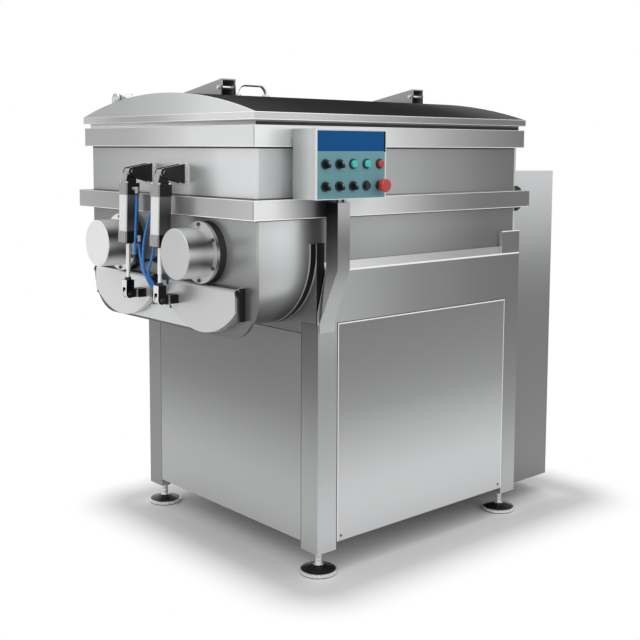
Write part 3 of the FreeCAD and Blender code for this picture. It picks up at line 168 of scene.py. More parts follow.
class MixerColours(bpy.types.PropertyGroup):
    """Colours of the finishes."""

    steel: FloatVectorProperty(
        name="Stainless steel", description="Brushed stainless sheet", default=(0.825, 0.833, 0.842),
        subtype="COLOR", min=0, max=1,
    )
    polished: FloatVectorProperty(
        name="Polished steel", description="Polished bands and edges", default=(0.86, 0.865, 0.87),
        subtype="COLOR", min=0, max=1,
    )
    # Colour of the painted dark reflection on the dome's top
    dome_reflection_tone: FloatVectorProperty(
        name="Dark steel", description="Steel of the dome's top", default=(0.085, 0.086, 0.088),
        subtype="COLOR", min=0, max=1,
    )
    black: FloatVectorProperty(
        name="Black", description="Black plastic and black oxide", default=(0.018, 0.018, 0.02),
        subtype="COLOR", min=0, max=1,
    )
    rubber: FloatVectorProperty(
        name="Rubber", description="Black rubber", default=(0.022, 0.022, 0.023), subtype="COLOR",
        min=0, max=1,
    )
    hose: FloatVectorProperty(
        name="Hose blue", description="Blue polyurethane hose", default=(0.02, 0.20, 0.60), subtype="COLOR",
        min=0, max=1,
    )
    header: FloatVectorProperty(
        name="Panel header", description="Dark blue strip of the control panel",
        default=(0.001, 0.085, 0.26), subtype="COLOR", min=0, max=1,
    )
    panel: FloatVectorProperty(
        name="Panel field", description="Grey-green field of the control panel",
        default=(0.175, 0.375, 0.42), subtype="COLOR", min=0, max=1,
    )
    green: FloatVectorProperty(
        name="Green", description="Start buttons", default=(0.04, 0.60, 0.48), subtype="COLOR", min=0, max=1,
    )
    red: FloatVectorProperty(
        name="Red", description="Stop buttons", default=(0.50, 0.022, 0.012), subtype="COLOR", min=0, max=1,
    )
    floor: FloatVectorProperty(
        name="Floor", description="Pale studio floor", default=(0.74, 0.74, 0.74), subtype="COLOR",
        min=0, max=1,
    )


def sizes():
    """The sizes that the panel in the sidebar shows."""
    return bpy.context.scene.mixer_sizes


def colours():
    """The colours that the panel in the sidebar shows."""
    return bpy.context.scene.mixer_colours


# Ground that the machine shades, in metres

SHADED_X = (-0.44, 0.76)
SHADED_Y = (-0.43, 0.50)


# Painted light, shade and reflections on the sheet steel: soft changes of tone, as (place in metres, tone)
# stops

SIDE_DOWN = [(0.10, 0.75), (0.30, 0.70), (0.50, 0.40), (0.80, 0.25)]
END_DOWN = [(0.10, 0.55), (0.30, 0.50), (0.50, 0.30), (0.80, 0.25)]
LEG_NEAR_FRONT = [(0.05, 0.55), (0.35, 0.45), (0.55, 0.25), (0.80, 0.15)]
LEG_FAR_FRONT = [(0.05, 0.35), (0.50, 0.30), (0.80, 0.25)]
LEG_NEAR_SIDE = [(0.05, 0.75), (0.30, 0.60), (0.60, 0.40), (0.80, 0.50)]
LEG_DRIVE_SIDE = [(0.05, 0.65), (0.40, 0.35), (0.80, 0.20)]
APRON_SIDE = [(-0.45, 0.55), (-0.10, 0.35), (0.20, 0.25), (0.50, 0.20)]
LEDGE_UP = [(-0.45, 0.85), (0.10, 0.50), (0.50, 0.40)]
WALL_SIDE = [(-0.65, 0.80), (-0.55, 1.00), (-0.25, 0.65), (0.00, 0.45), (0.25, 0.30), (0.50, 0.20)]
BARREL_SIDE = [
    (-0.65, 0.80), (-0.52, 0.90), (-0.45, 0.30), (-0.30, 0.50), (-0.05, 0.45), (0.25, 0.25), (0.50, 0.20),
]
BARREL_DOWN = [(0.75, 0.15), (0.80, 0.25), (0.86, 0.70), (0.95, 0.75), (1.05, 1.00)]
WALL_FRONT = [(-0.40, 1.45), (-0.20, 0.90), (0.15, 0.70), (0.50, 0.50)]
FRONT_DOWN = [(0.75, 0.20), (0.90, 0.25), (1.00, 0.55), (1.13, 0.60), (1.16, 1.00), (1.40, 1.00)]
RIM_SIDE = [(-0.70, 1.00), (-0.60, 1.30), (-0.15, 0.90), (0.10, 0.55), (0.50, 0.25)]
RIM_FRONT = [(-0.45, 1.60), (-0.15, 1.05), (0.15, 0.65), (0.50, 0.55)]
BELT_SIDE = [
    (-0.70, 1.05), (-0.60, 0.85), (-0.45, 0.10), (-0.37, 0.30), (-0.33, 0.90), (0.00, 0.45), (0.20, 0.25),
    (0.50, 0.20),
]
BELT_FRONT = [(-0.45, 0.65), (-0.30, 0.55), (0.20, 0.45), (0.55, 0.50)]
BELT_UP = [(-0.70, 0.05), (-0.45, 0.05), (-0.35, 0.80), (0.50, 0.60)]
LID_FRONT = [(-0.45, 1.20), (-0.10, 0.85), (0.20, 0.65), (0.45, 0.60)]
LID_STRIP_FRONT = [(-0.45, 1.20), (-0.30, 1.20), (0.00, 0.70), (0.25, 0.55), (0.50, 0.75)]
LID_SIDE = [(-0.70, 0.70), (-0.50, 0.70), (-0.10, 0.45), (0.15, 0.30), (0.50, 0.25)]
DOME_TOP = [(-0.70, 0.45), (-0.40, 0.25), (0.20, 0.35), (0.50, 1.10)]
POST_SIDE = [(0.80, 0.60), (0.90, 0.50), (0.97, 0.30), (1.05, 0.30), (1.15, 0.65), (1.30, 0.65)]
POST_FRONT = [(0.80, 0.60), (0.87, 0.60), (0.95, 0.25), (1.05, 0.05), (1.30, 0.02)]
HOUSING_DOWN = [
    (0.90, 0.50), (0.935, 0.85), (0.965, 0.20), (0.995, 0.75), (1.02, 0.10), (1.05, 0.60), (1.10, 0.70),
]
CABINET_DOWN = [(0.05, 0.30), (0.75, 0.25), (0.95, 0.45), (1.20, 0.80)]
SADDLE_DOWN = [(0.75, 0.20), (0.90, 0.30), (1.10, 0.60)]
SEAL_FRONT = [(-0.45, 0.50), (-0.20, 0.70), (0.10, 0.90), (0.50, 1.10)]
# Brightness of the surroundings over their height, as (height, tone) stops
SKY_UP = [(0.0, 0.80), (0.47, 0.70), (0.52, 0.55), (0.62, 0.85), (1.0, 1.0)]


# Studio: each lamp's name, place, size and power, and the camera

LAMPS = [
    ("key", (-3.4, -1.2, 3.0), 2.6, 31.0), ("fill", (0.6, -3.6, 2.6), 3.0, 17.0),
    ("top", (0.0, 0.3, 4.2), 3.2, 54.0),
]
CAMERA_PLACE = (-2.4353, -2.7082, 1.3008)
CAMERA_TURN = (math.pi / 2 - 0.098, -0.004, -0.720)
CAMERA_LENS = 58.47
CAMERA_SHIFT = -70.0 / 640.0


# Shader graphs

class Nodes:
    """Adds nodes to a tree: a value that is a socket is linked, any other is set."""

    def __init__(self, tree):
        self.tree = tree

    def add(self, kind, values, **settings):
        node = self.tree.nodes.new(kind)
        for key, value in settings.items():
            setattr(node, key, value)
        for socket, value in values.items():
            if isinstance(value, bpy.types.NodeSocket):
                self.tree.links.new(value, node.inputs[socket])
            else:
                node.inputs[socket].default_value = value
        return node

    def ramp(self, value, stops, blend="LINEAR"):
        node = self.add("ShaderNodeValToRGB", {0: value})
        node.color_ramp.interpolation = blend
        elements = node.color_ramp.elements
        while len(elements) < len(stops):
            elements.new(0.5)
        for element, (position, grey) in zip(elements, stops):
            element.position = position
            element.color = grey_of(grey)
        return node.outputs[0]


class Graph(Nodes):
    """Builds one material."""

    def __init__(self, name, metallic, coat=0.0, ior=1.45):
        self.material = bpy.data.materials.new(name)
        self.material.use_nodes = True
        super().__init__(self.material.node_tree)
        self.tree.nodes.clear()
        self.shader = self.add("ShaderNodeBsdfPrincipled", {
            "Metallic": metallic, "Coat Weight": coat, "IOR": ior,
        })
        self.output = self.add("ShaderNodeOutputMaterial", {"Surface": self.shader.outputs["BSDF"]})
        self.coordinates = self.add("ShaderNodeTexCoord", {})
        self.place = self.coordinates.outputs["Object"]
        self.x, self.y, self.z = self.add("ShaderNodeSeparateXYZ", {0: self.place}).outputs

    def math(self, operation, first, second=0.0, third=0.0):
        node = self.add("ShaderNodeMath", {0: first, 1: second, 2: third}, operation=operation)
        return node.outputs[0]

    def noise(self, scale, detail=4.0, rough=0.6):
        mapping = self.add("ShaderNodeMapping", {"Vector": self.place, "Scale": scale})
        node = self.add("ShaderNodeTexNoise", {
            "Vector": mapping.outputs[0], "Scale": 1.0, "Detail": detail, "Roughness": rough,
        })
        return node.outputs["Fac"]

    def remap(self, value, from_low, from_high, to_low, to_high, smooth=True):
        node = self.add("ShaderNodeMapRange", {
            0: value, 1: from_low, 2: from_high, 3: to_low, 4: to_high,
        }, interpolation_type="SMOOTHSTEP" if smooth else "LINEAR")
        return node.outputs[0]

    def inside(self, value, start, end, soft=0.0002):
        up = self.remap(value, start - soft, start + soft, 0.0, 1.0)
        down = self.remap(value, end - soft, end + soft, 1.0, 0.0)
        return self.math("MULTIPLY", up, down)

    def either(self, masks):
        whole = masks[0]
        for mask in masks[1:]:
            whole = self.math("MAXIMUM", whole, mask)
        return whole

    def both(self, masks):
        whole = masks[0]
        for mask in masks[1:]:
            whole = self.math("MULTIPLY", whole, mask)
        return whole

    def mix(self, mask, first, second, blend="MIX"):
        node = self.add("ShaderNodeMix", {0: mask, 6: first, 7: second}, data_type="RGBA", blend_type=blend)
        return node.outputs[2]

    def distance(self, first, first_centre, second, second_centre):
        a = self.math("SUBTRACT", first, first_centre)
        b = self.math("SUBTRACT", second, second_centre)
        return self.math("SQRT", self.math("ADD", self.math("MULTIPLY", a, a), self.math("MULTIPLY", b, b)))

    def shade(self, value, stops, colour):
        """Painted light and shade: the colour times a soft change of tone, given as (place, tone) stops."""
        if not stops:
            return colour
        start, end = stops[0][0], stops[-1][0]
        scaled = self.remap(value, start, end, 0.0, 1.0, smooth=False)
        places = [((position - start) / (end - start), grey) for position, grey in stops]
        return self.mix(1.0, colour, self.ramp(scaled, places, "CARDINAL"), "MULTIPLY")

    def facing(self):
        """How far a face looks along X, Y and Z: the parts of its normal in the object's own space."""
        return self.add("ShaderNodeSeparateXYZ", {0: self.coordinates.outputs["Normal"]}).outputs

    def looks(self, part, start=0.45, end=0.75):
        """1 where a part of the normal is over the limit, whatever its sign."""
        return self.remap(self.math("ABSOLUTE", part), start, end, 0.0, 1.0)

    def finish(self, colour, rough, bump=None, bump_distance=0.0002, strength=0.25):
        self.tree.links.new(colour, self.shader.inputs["Base Color"])
        self.tree.links.new(rough, self.shader.inputs["Roughness"])
        if bump is not None:
            node = self.add("ShaderNodeBump", {
                "Height": bump, "Distance": bump_distance, "Strength": strength,
            })
            self.tree.links.new(node.outputs[0], self.shader.inputs["Normal"])
        return self.material

    def grained(self, colour, grain, rough, depth=0.0001, strength=0.05):
        """Roughness that follows a grain, and the same grain as a fine bump."""
        return self.finish(colour, self.remap(grain, 0.3, 0.7, rough[0], rough[1]), grain, depth, strength)


def rgba(colour, factor=1.0):
    """A colour with its alpha, made lighter or darker."""
    return (colour[0] * factor, colour[1] * factor, colour[2] * factor, 1.0)


def grey_of(value):
    return (value, value, value, 1.0)


def grain_of(scale):
    return (scale, scale, scale)


PANEL_ROUGH = (0.3, 0.42)
BRUSH = {"x": (3.0, 380.0, 380.0), "y": (380.0, 3.0, 380.0), "z": (380.0, 380.0, 3.0)}


def steel_grain(graph, colour, along, depth=0.012):
    """Brushed sheet: fine streaks along one axis and a faint cloud over them."""
    streaks = graph.noise(BRUSH[along], 5.0, 0.65)
    cloud = graph.noise(grain_of(2.3), 3.0, 0.5)
    tone = graph.mix(streaks, rgba(colour, 1 - depth), rgba(colour, 1 + depth))
    tone = graph.mix(cloud, tone, rgba(colour, 1 - depth / 2))
    return tone, streaks


def brushed_steel(
    name, colour, along="x", rough=(0.26, 0.38), metallic=0.7, side=None, front=None, down=None, up=None,
    lines=(),
):
    """A brushed sheet with painted light and shade: its tone changes softly.

    Side is the painted change along X on faces that look along Y, front the one along Y on faces that look
    along X, down the one over the height, and up the one along X on upward faces. Lines are painted
    highlights and painted shade lines along edges, as (letter, start, end, grey); those with a capital
    letter show only on faces that look along X.
    """
    graph = Graph(name, metallic)
    tone, streaks = steel_grain(graph, colour, along)
    x, y, z = graph.facing()
    if side or front:
        tone = graph.mix(graph.looks(x), graph.shade(graph.x, side, tone), graph.shade(graph.y, front, tone))
    tone = graph.shade(graph.z, down, tone)
    if up:
        bare = graph.mix(0.0, rgba(colour), rgba(colour))
        tone = graph.mix(graph.remap(z, 0.2, 0.45, 0.0, 1.0), tone, graph.shade(graph.x, up, bare))
    for letter, start, end, grey in lines:
        line = graph.inside(getattr(graph, letter.lower()), start, end)
        if letter.isupper():
            line = graph.both([line, graph.looks(x)])
        tone = graph.mix(line, tone, grey_of(grey))
    middle = (rough[0] + rough[1]) / 2
    return graph.grained(tone, streaks, (middle - 0.02, middle + 0.02))


def turned_steel(name, colour, centres, rough=(0.24, 0.36), metallic=0.8):
    """A faced or turned surface: fine rings round the nearer of the shaft centres."""
    graph = Graph(name, metallic)
    middle = (centres[0] + centres[1]) / 2
    offset = graph.math("SUBTRACT", graph.math("ABSOLUTE", graph.math("SUBTRACT", graph.y, middle)),
                        abs(centres[1] - centres[0]) / 2)
    radius = graph.distance(offset, 0.0, graph.z, shaft_z)
    rings = graph.math("SINE", graph.math("MULTIPLY", radius, 2600.0))
    cloud = graph.noise(grain_of(18.0))
    tone = graph.mix(graph.remap(rings, -1.0, 1.0, 0.0, 1.0), rgba(colour, 0.97), rgba(colour, 1.03))
    tone = graph.mix(cloud, tone, rgba(colour, 0.94))
    return graph.finish(tone, graph.remap(cloud, 0.3, 0.7, rough[0], rough[1]), rings, 0.00008, 0.2)


def plain_plastic(name, colour, rough=(0.32, 0.45), grain=900.0, coat=0.0):
    """Moulded plastic or rubber with a fine grain."""
    graph = Graph(name, 0.0, coat)
    grains = graph.noise(grain_of(grain), 2.0)
    cloud = graph.noise(grain_of(30.0), 3.0)
    tone = graph.mix(cloud, rgba(colour, 0.88), rgba(colour, 1.15))
    return graph.finish(tone, graph.remap(cloud, 0.3, 0.7, rough[0], rough[1]), grains, 0.00006, 0.3)


MATERIALS = {}


def finish_of(name, maker, *values, **settings):
    """Makes a finish once and keeps it."""
    if name not in MATERIALS:
        MATERIALS[name] = maker(name, *values, **settings)
    return MATERIALS[name]


def bolt_steel():
    return finish_of("bolt_steel", brushed_steel, colours().steel, "z", (0.18, 0.3))


def dark_bolt_steel():
    return finish_of("bolt_dark", brushed_steel, (0.10, 0.10, 0.10), "z", (0.25, 0.35), 0.5)


def bead_steel():
    return finish_of("bead_steel", brushed_steel, colours().polished, "x", (0.12, 0.2), 0.7)


def black_plastic():
    return finish_of("black_plastic", plain_plastic, rgba(colours().black, 0.4), (0.3, 0.4), 900.0)


def dark_rubber():
    return finish_of("dark_rubber", plain_plastic, colours().rubber, (0.55, 0.7), 500.0)


# Meshes

def object_from(builder, name, material, smooth_angle=None):
    """Makes an object at the origin from a bmesh, with its faces pointing outwards."""
    bmesh.ops.remove_doubles(builder, verts=builder.verts, dist=1e-6)
    bmesh.ops.recalc_face_normals(builder, faces=builder.faces)
    mesh = bpy.data.meshes.new(name)
    builder.to_mesh(mesh)
    builder.free()
    piece = bpy.data.objects.new(name, mesh)
    bpy.context.scene.collection.objects.link(piece)
    mesh.materials.append(material)
    if smooth_angle is not None:
        smooth(piece, smooth_angle)
    return piece


def smooth(piece, angle=35.0):
    """Smooth shading with sharp edges kept."""
    mesh = piece.data
    mesh.shade_smooth()
    mesh.set_sharp_from_angle(angle=math.radians(angle))


def put(piece, body):
    """Rides on a body."""
    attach(piece, body)
    return piece


def turn_to(axis):
    """The turn that takes +Z to an axis."""
    return Vector((0, 0, 1)).rotation_difference(Vector(axis)).to_matrix().to_4x4()


def add_lathe(builder, profile, centre, axis, steps=32):
    """A closed profile of (radius, height) points turned about an axis through a centre."""
    place = Matrix.Translation(centre) @ turn_to(axis)
    rings = []
    for radius, height in profile:
        if radius < 1e-7:
            rings.append([builder.verts.new(place @ Vector((0, 0, height)))])
            continue
        turns = [2 * math.pi * k / steps for k in range(steps)]
        rings.append([
            builder.verts.new(place @ Vector((radius * math.cos(turn), radius * math.sin(turn), height)))
            for turn in turns
        ])
    for lower, upper in zip(rings, rings[1:] + rings[:1]):
        if len(lower) == 1 and len(upper) == 1:
            continue
        for k in range(steps):
            corners = [lower[k % len(lower)], lower[(k + 1) % len(lower)],
                       upper[(k + 1) % len(upper)], upper[k % len(upper)]]
            unique = []
            for corner in corners:
                if corner not in unique:
                    unique.append(corner)
            builder.faces.new(unique)


def add_block(builder, lowest, highest, bevel=0.0):
    """A block with rounded edges."""
    made = bmesh.ops.create_cube(builder, size=1.0)
    size = Vector(highest) - Vector(lowest)
    centre = (Vector(highest) + Vector(lowest)) / 2
    for vertex in made["verts"]:
        vertex.co = Vector((vertex.co.x * size.x, vertex.co.y * size.y, vertex.co.z * size.z)) + centre
    if bevel:
        edges = {edge for vertex in made["verts"] for edge in vertex.link_edges}
        bmesh.ops.bevel(builder, geom=list(edges), offset=bevel, segments=2, affect="EDGES", profile=0.6)
    return made


# Geometry Nodes

class Tree(Nodes):
    """Builds one geometry tree with named inputs."""

    def __init__(self, name, inputs):
        super().__init__(bpy.data.node_groups.new(name, "GeometryNodeTree"))
        face = self.tree.interface
        face.new_socket("Geometry", in_out="INPUT", socket_type="NodeSocketGeometry")
        for label, kind in inputs:
            face.new_socket(label, in_out="INPUT", socket_type="NodeSocket" + kind)
        face.new_socket("Geometry", in_out="OUTPUT", socket_type="NodeSocketGeometry")
        self.given = self.tree.nodes.new("NodeGroupInput").outputs
        self.result = self.tree.nodes.new("NodeGroupOutput")

    def geometry(self, kind, values):
        return self.add("GeometryNode" + kind, values)

    def at_points(self, points, shape):
        """The shape at every point, turned as the input Turn says."""
        placed = self.geometry("InstanceOnPoints", {
            "Points": points, "Instance": shape, "Rotation": self.given["Turn"],
        })
        return placed.outputs[0]

    def half(self, value):
        return self.add("ShaderNodeMath", {0: value, 1: 0.5}, operation="MULTIPLY").outputs[0]

    def end(self, geometry):
        realised = self.geometry("RealizeInstances", {"Geometry": geometry})
        painted = self.geometry("SetMaterial", {
            "Geometry": realised.outputs[0], "Material": self.given["Material"],
        })
        self.tree.links.new(painted.outputs[0], self.result.inputs[0])
        return self.tree


def screw_shape(tree):
    """The tree's geometry of a washer with a head on it, both standing on Z = 0."""
    given = tree.given
    washer = tree.geometry("MeshCone", {
        "Vertices": 20, "Radius Top": tree.half(given["Washer Diameter"]),
        "Radius Bottom": tree.half(given["Washer Diameter"]), "Depth": given["Washer Height"],
    })
    head = tree.geometry("MeshCone", {
        "Vertices": given["Sides"], "Radius Top": tree.half(given["Top Diameter"]),
        "Radius Bottom": tree.half(given["Head Diameter"]), "Depth": given["Head Height"],
    })
    joined = tree.geometry("JoinGeometry", {"Geometry": washer.outputs["Mesh"]})
    tree.tree.links.new(head.outputs["Mesh"], joined.inputs[0])
    return joined.outputs[0]


SCREW_INPUTS = [
    ("Head Diameter", "Float"), ("Top Diameter", "Float"), ("Head Height", "Float"),
    ("Washer Diameter", "Float"), ("Washer Height", "Float"), ("Sides", "Int"), ("Turn", "Rotation"),
    ("Material", "Material"),
]


def screws_tree():
    """Screws at the points of a mesh, all facing one way."""
    tree = Tree("Screws at points", SCREW_INPUTS)
    return tree.end(tree.at_points(tree.given["Geometry"], screw_shape(tree)))


def bolt_circle_tree():
    """A circle of bolts round each point of a mesh, all facing one way."""
    tree = Tree("Bolt circles", SCREW_INPUTS + [("Count", "Int"), ("Circle Radius", "Float")])
    given = tree.given
    shape = screw_shape(tree)
    circle = tree.geometry("MeshCircle", {"Vertices": given["Count"], "Radius": given["Circle Radius"]})
    circles = tree.at_points(given["Geometry"], circle.outputs[0])
    corners = tree.geometry("RealizeInstances", {"Geometry": circles})
    return tree.end(tree.at_points(corners.outputs[0], shape))


def thread_tree():
    """A thread wound upwards from each point of a mesh."""
    tree = Tree("Threads", [
        ("Thread Radius", "Float"), ("Height", "Float"), ("Turns", "Float"), ("Crest", "Float"),
        ("Turn", "Rotation"), ("Material", "Material"),
    ])
    given = tree.given
    spiral = tree.geometry("CurveSpiral", {
        "Resolution": 18, "Rotations": given["Turns"], "Start Radius": given["Thread Radius"],
        "End Radius": given["Thread Radius"], "Height": given["Height"],
    })
    crest = tree.geometry("CurvePrimitiveCircle", {"Resolution": 5, "Radius": given["Crest"]})
    wound = tree.geometry("CurveToMesh", {
        "Curve": spiral.outputs[0], "Profile Curve": crest.outputs[0], "Fill Caps": True,
    })
    return tree.end(tree.at_points(given["Geometry"], wound.outputs[0]))


def grown(name, tree, points, values, material, smooth_angle=None):
    """Runs a tree on a mesh of points and returns the result as a plain mesh at the origin."""
    mesh = bpy.data.meshes.new(name + "_points")
    mesh.from_pydata([tuple(point) for point in points], [], [])
    holder = bpy.data.objects.new(name + "_points", mesh)
    bpy.context.scene.collection.objects.link(holder)
    modifier = holder.modifiers.new("Tree", "NODES")
    modifier.node_group = tree
    sockets = {
        item.name: item.identifier for item in tree.interface.items_tree if item.in_out == "INPUT"
    }
    for label, value in {**values, "Material": material}.items():
        modifier[sockets[label]] = value
    graph = bpy.context.evaluated_depsgraph_get()
    evaluated = holder.evaluated_get(graph)
    made = bpy.data.meshes.new_from_object(evaluated, preserve_all_data_layers=False, depsgraph=graph)
    made.name = name
    holder.modifiers.remove(modifier)
    bpy.data.objects.remove(holder)
    bpy.data.meshes.remove(mesh)
    builder = bmesh.new()
    builder.from_mesh(made)
    bmesh.ops.recalc_face_normals(builder, faces=builder.faces)
    builder.to_mesh(made)
    builder.free()
    piece = bpy.data.objects.new(name, made)
    bpy.context.scene.collection.objects.link(piece)
    if not made.materials:
        made.materials.append(material)
    if smooth_angle is not None:
        smooth(piece, smooth_angle)
    return piece


FACING = {
    "-x": (0.0, -math.pi / 2, 0.0), "+x": (0.0, math.pi / 2, 0.0), "-y": (math.pi / 2, 0.0, 0.0),
    "+y": (-math.pi / 2, 0.0, 0.0), "+z": (0.0, 0.0, 0.0),
}


def screw_values(head, height, sides=6, washer=None, turn="-x"):
    """The inputs of a screw that suit its head."""
    return {
        "Head Diameter": head, "Top Diameter": head * 0.9, "Head Height": height,
        "Washer Diameter": washer or head * 1.25, "Washer Height": height * 0.3, "Sides": sides,
        "Turn": FACING[turn] if isinstance(turn, str) else turn,
    }


# Operators, one for each piece or group of like pieces

class MIXER_OT_hoses(bpy.types.Operator):
    """Blue air hoses from the door cylinders to the manifold and the wall fitting"""

    bl_idname = "mixer.hoses"
    bl_label = "Air hoses"

    def execute(self, context):
        material = self.hose_material()
        diameter = sizes().hose_diameter
        for name, route in HOSE_ROUTES.items():
            path = self.line(name, route)
            piece = self.tube(name, path, diameter / 2, material)
            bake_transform(piece)
            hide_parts("air_hose_" + name)
        return {"FINISHED"}

    def hose_material(self):
        graph = Graph("hose_blue", 0.0, 0.3)
        cloud = graph.noise(grain_of(60.0), 3.0)
        tone = graph.mix(cloud, rgba(colours().hose, 0.85), rgba(colours().hose, 1.15))
        return graph.grained(tone, cloud, (0.2, 0.32), 0.0001, 0.15)

    def line(self, name, route):
        """The smooth centre line of a hose, read from the NURBS spline of its route."""
        curve = bpy.data.curves.new("line_" + name, "CURVE")
        curve.dimensions = "3D"
        curve.resolution_u = 12
        spline = curve.splines.new("NURBS")
        spline.points.add(len(route) - 1)
        for point, place in zip(spline.points, route):
            point.co = (*place, 1.0)
        spline.order_u = 3
        spline.use_endpoint_u = True
        holder = bpy.data.objects.new("line_" + name, curve)
        bpy.context.scene.collection.objects.link(holder)
        graph = bpy.context.evaluated_depsgraph_get()
        mesh = bpy.data.meshes.new_from_object(holder.evaluated_get(graph), depsgraph=graph)
        path = [vertex.co.copy() for vertex in mesh.vertices]
        bpy.data.objects.remove(holder)
        bpy.data.meshes.remove(mesh)
        return path

    def tube(self, name, path, radius, material, sides=16):
        builder = bmesh.new()
        rings = []
        side = Vector((0, 1, 0))
        for k, point in enumerate(path):
            ahead = (path[min(k + 1, len(path) - 1)] - path[max(k - 1, 0)]).normalized()
            side = (side - ahead * side.dot(ahead)).normalized()
            across = ahead.cross(side)
            rings.append([
                builder.verts.new(point + radius * (
                    side * math.cos(2 * math.pi * n / sides) + across * math.sin(2 * math.pi * n / sides)
                )) for n in range(sides)
            ])
        for first, second in zip(rings, rings[1:]):
            for n in range(sides):
                builder.faces.new([first[n], first[(n + 1) % sides], second[(n + 1) % sides], second[n]])
        builder.faces.new(rings[0])
        builder.faces.new(rings[-1])
        return object_from(builder, "hose_" + name, material, 60)


class MIXER_OT_push_in_collars(bpy.types.Operator):
    """Push-in collars where the hoses leave the cylinders and enter their fittings"""

    bl_idname = "mixer.push_in_collars"
    bl_label = "Push-in collars"

    def execute(self, context):
        groups = {"near_cylinder": [], "far_cylinder": [], "base": []}
        for name, route in HOSE_ROUTES.items():
            side = name.split("_")[0] + "_cylinder"
            groups[side].append((Vector(route[0]), Vector(route[1]) - Vector(route[0])))
            groups["base"].append((Vector(route[-1]), Vector(route[-2]) - Vector(route[-1])))
        width = sizes().collar_width
        hole = sizes().hose_diameter / 2 + 0.0003
        for body, ends in groups.items():
            builder = bmesh.new()
            for place, along in ends:
                add_lathe(builder, [
                    (hole, 0.0), (0.0062, 0.0), (0.0066, 0.0008), (0.0066, width - 0.0012),
                    (0.0058, width), (hole, width),
                ], place, along, 28)
            put(object_from(builder, "push_in_collars_" + body, black_plastic(), 40), body)
        return {"FINISHED"}


class MIXER_OT_flange_bolts(bpy.types.Operator):
    """Bolts round the flanges of the two bearing housings"""

    bl_idname = "mixer.flange_bolts"
    bl_label = "Flange bolts"

    def execute(self, context):
        values = screw_values(sizes().bolt_head, 0.006, 6, sizes().bolt_head * 1.2)
        values.update({"Count": sizes().bolt_count, "Circle Radius": sizes().bolt_circle})
        centres = [(flange_x, y, shaft_z) for y in (near_y, far_y)]
        put(grown("flange_bolts", bolt_circle_tree(), centres, values, dark_bolt_steel()), "base")
        return {"FINISHED"}


class MIXER_OT_sheet_screws(bpy.types.Operator):
    """Screws of the side panels, the cabinet cover and the brackets"""

    bl_idname = "mixer.sheet_screws"
    bl_label = "Sheet screws"

    def execute(self, context):
        head = sizes().screw_head
        inset = 0.016
        tree = screws_tree()
        x_ends = (side_low.x + inset, side_high.x - inset)
        z_foot = side_low.z + inset
        cover_low, cover_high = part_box("cabinet_cover")
        cover = []
        for step in range(5):
            z = cover_low.z + inset + step * (cover_high.z - cover_low.z - 2 * inset) / 4
            cover += [(cover_high.x, cover_low.y + inset, z), (cover_high.x, cover_high.y - inset, z)]
        for step in (1, 2, 3):
            y = cover_low.y + inset + step * (cover_high.y - cover_low.y - 2 * inset) / 4
            cover += [(cover_high.x, y, cover_low.z + inset), (cover_high.x, y, cover_high.z - inset)]
        bracket_x = plate_x - 0.004
        bracket = [
            (bracket_x, place.y + dy, place.z + 0.027 - dz)
            for place in cylinder_pivots.values() for dy in (-0.027, 0.027) for dz in (0.010, 0.052)
        ]
        small = head * 0.62
        groups = {
            "front": ([(x, side_low.y, z_foot) for x in x_ends], small, "-y"),
            "rear": ([(x, side_high.y, z_foot) for x in x_ends], small, "+y"),
            "cover": (cover, head, "+x"),
            "bracket": (bracket, small, "-x"),
        }
        for name, (points, width, turn) in groups.items():
            values = screw_values(width, width * 0.28, 20, width * 1.15, turn)
            values["Top Diameter"] = width * 0.6
            finish = dark_bolt_steel() if name in ("front", "rear") else bolt_steel()
            put(grown("screws_" + name, tree, points, values, finish, 40), "base")
        return {"FINISHED"}


class MIXER_OT_cylinder_fittings(bpy.types.Operator):
    """Tie rod nuts and rod wipers of the two door cylinders"""

    bl_idname = "mixer.cylinder_fittings"
    bl_label = "Cylinder fittings"

    def execute(self, context):
        tree = screws_tree()
        for name, place in cylinder_pivots.items():
            lean = Matrix.Translation(place) @ Matrix.Rotation(LEAN, 4, "Y")
            nuts = [lean @ Vector((dx, dy, -0.035)) for dx in (-0.0185, 0.0185) for dy in (-0.0185, 0.0185)]
            values = screw_values(0.008, 0.004, 6, 0.0094, (0.0, LEAN, 0.0))
            put(grown("tie_nuts_" + name, tree, nuts, values, bolt_steel()), name + "_cylinder")
            builder = bmesh.new()
            add_lathe(builder, [
                (0.0084, 0.0), (0.0150, 0.0), (0.0150, 0.0030), (0.0125, 0.0042), (0.0084, 0.0042),
            ], lean @ Vector((0, 0, -0.222)), -(lean.to_3x3() @ Vector((0, 0, 1))), 32)
            wiper = object_from(builder, "rod_wiper_" + name, dark_rubber(), 40)
            put(wiper, name + "_cylinder")
        return {"FINISHED"}


class MIXER_OT_rod_threads(bpy.types.Operator):
    """Threads on the piston rods and clips on the clevis pins"""

    bl_idname = "mixer.rod_threads"
    bl_label = "Rod threads and clips"

    def execute(self, context):
        pitch = sizes().thread_pitch
        material = finish_of("thread_steel", brushed_steel, colours().steel, "y", (0.25, 0.4))
        for name, place in cylinder_pivots.items():
            lean = Matrix.Translation(place) @ Matrix.Rotation(LEAN, 4, "Y")
            reach = math.hypot(place.x - FORK_PIN_X, place.z - FORK_PIN_Z)
            start = lean @ Vector((0, 0, -reach + 0.0525))
            height = 0.025
            values = {
                "Thread Radius": 0.0059, "Height": height, "Turns": height / pitch, "Crest": 0.00055,
                "Turn": (0.0, LEAN, 0.0),
            }
            thread = grown("rod_thread_" + name, thread_tree(), [start], values, material, 50)
            put(thread, name + "_rod")
            builder = bmesh.new()
            for side in (-1, 1):
                centre = lean @ Vector((0, side * 0.0155, -reach))
                add_lathe(builder, [
                    (0.0061, 0.0), (0.0085, 0.0), (0.0088, 0.0004), (0.0088, 0.0009), (0.0061, 0.0009),
                ], centre, (0, side, 0), 24)
            clips = object_from(builder, "pin_clips_" + name, black_plastic(), 40)
            put(clips, name + "_rod")
        return {"FINISHED"}


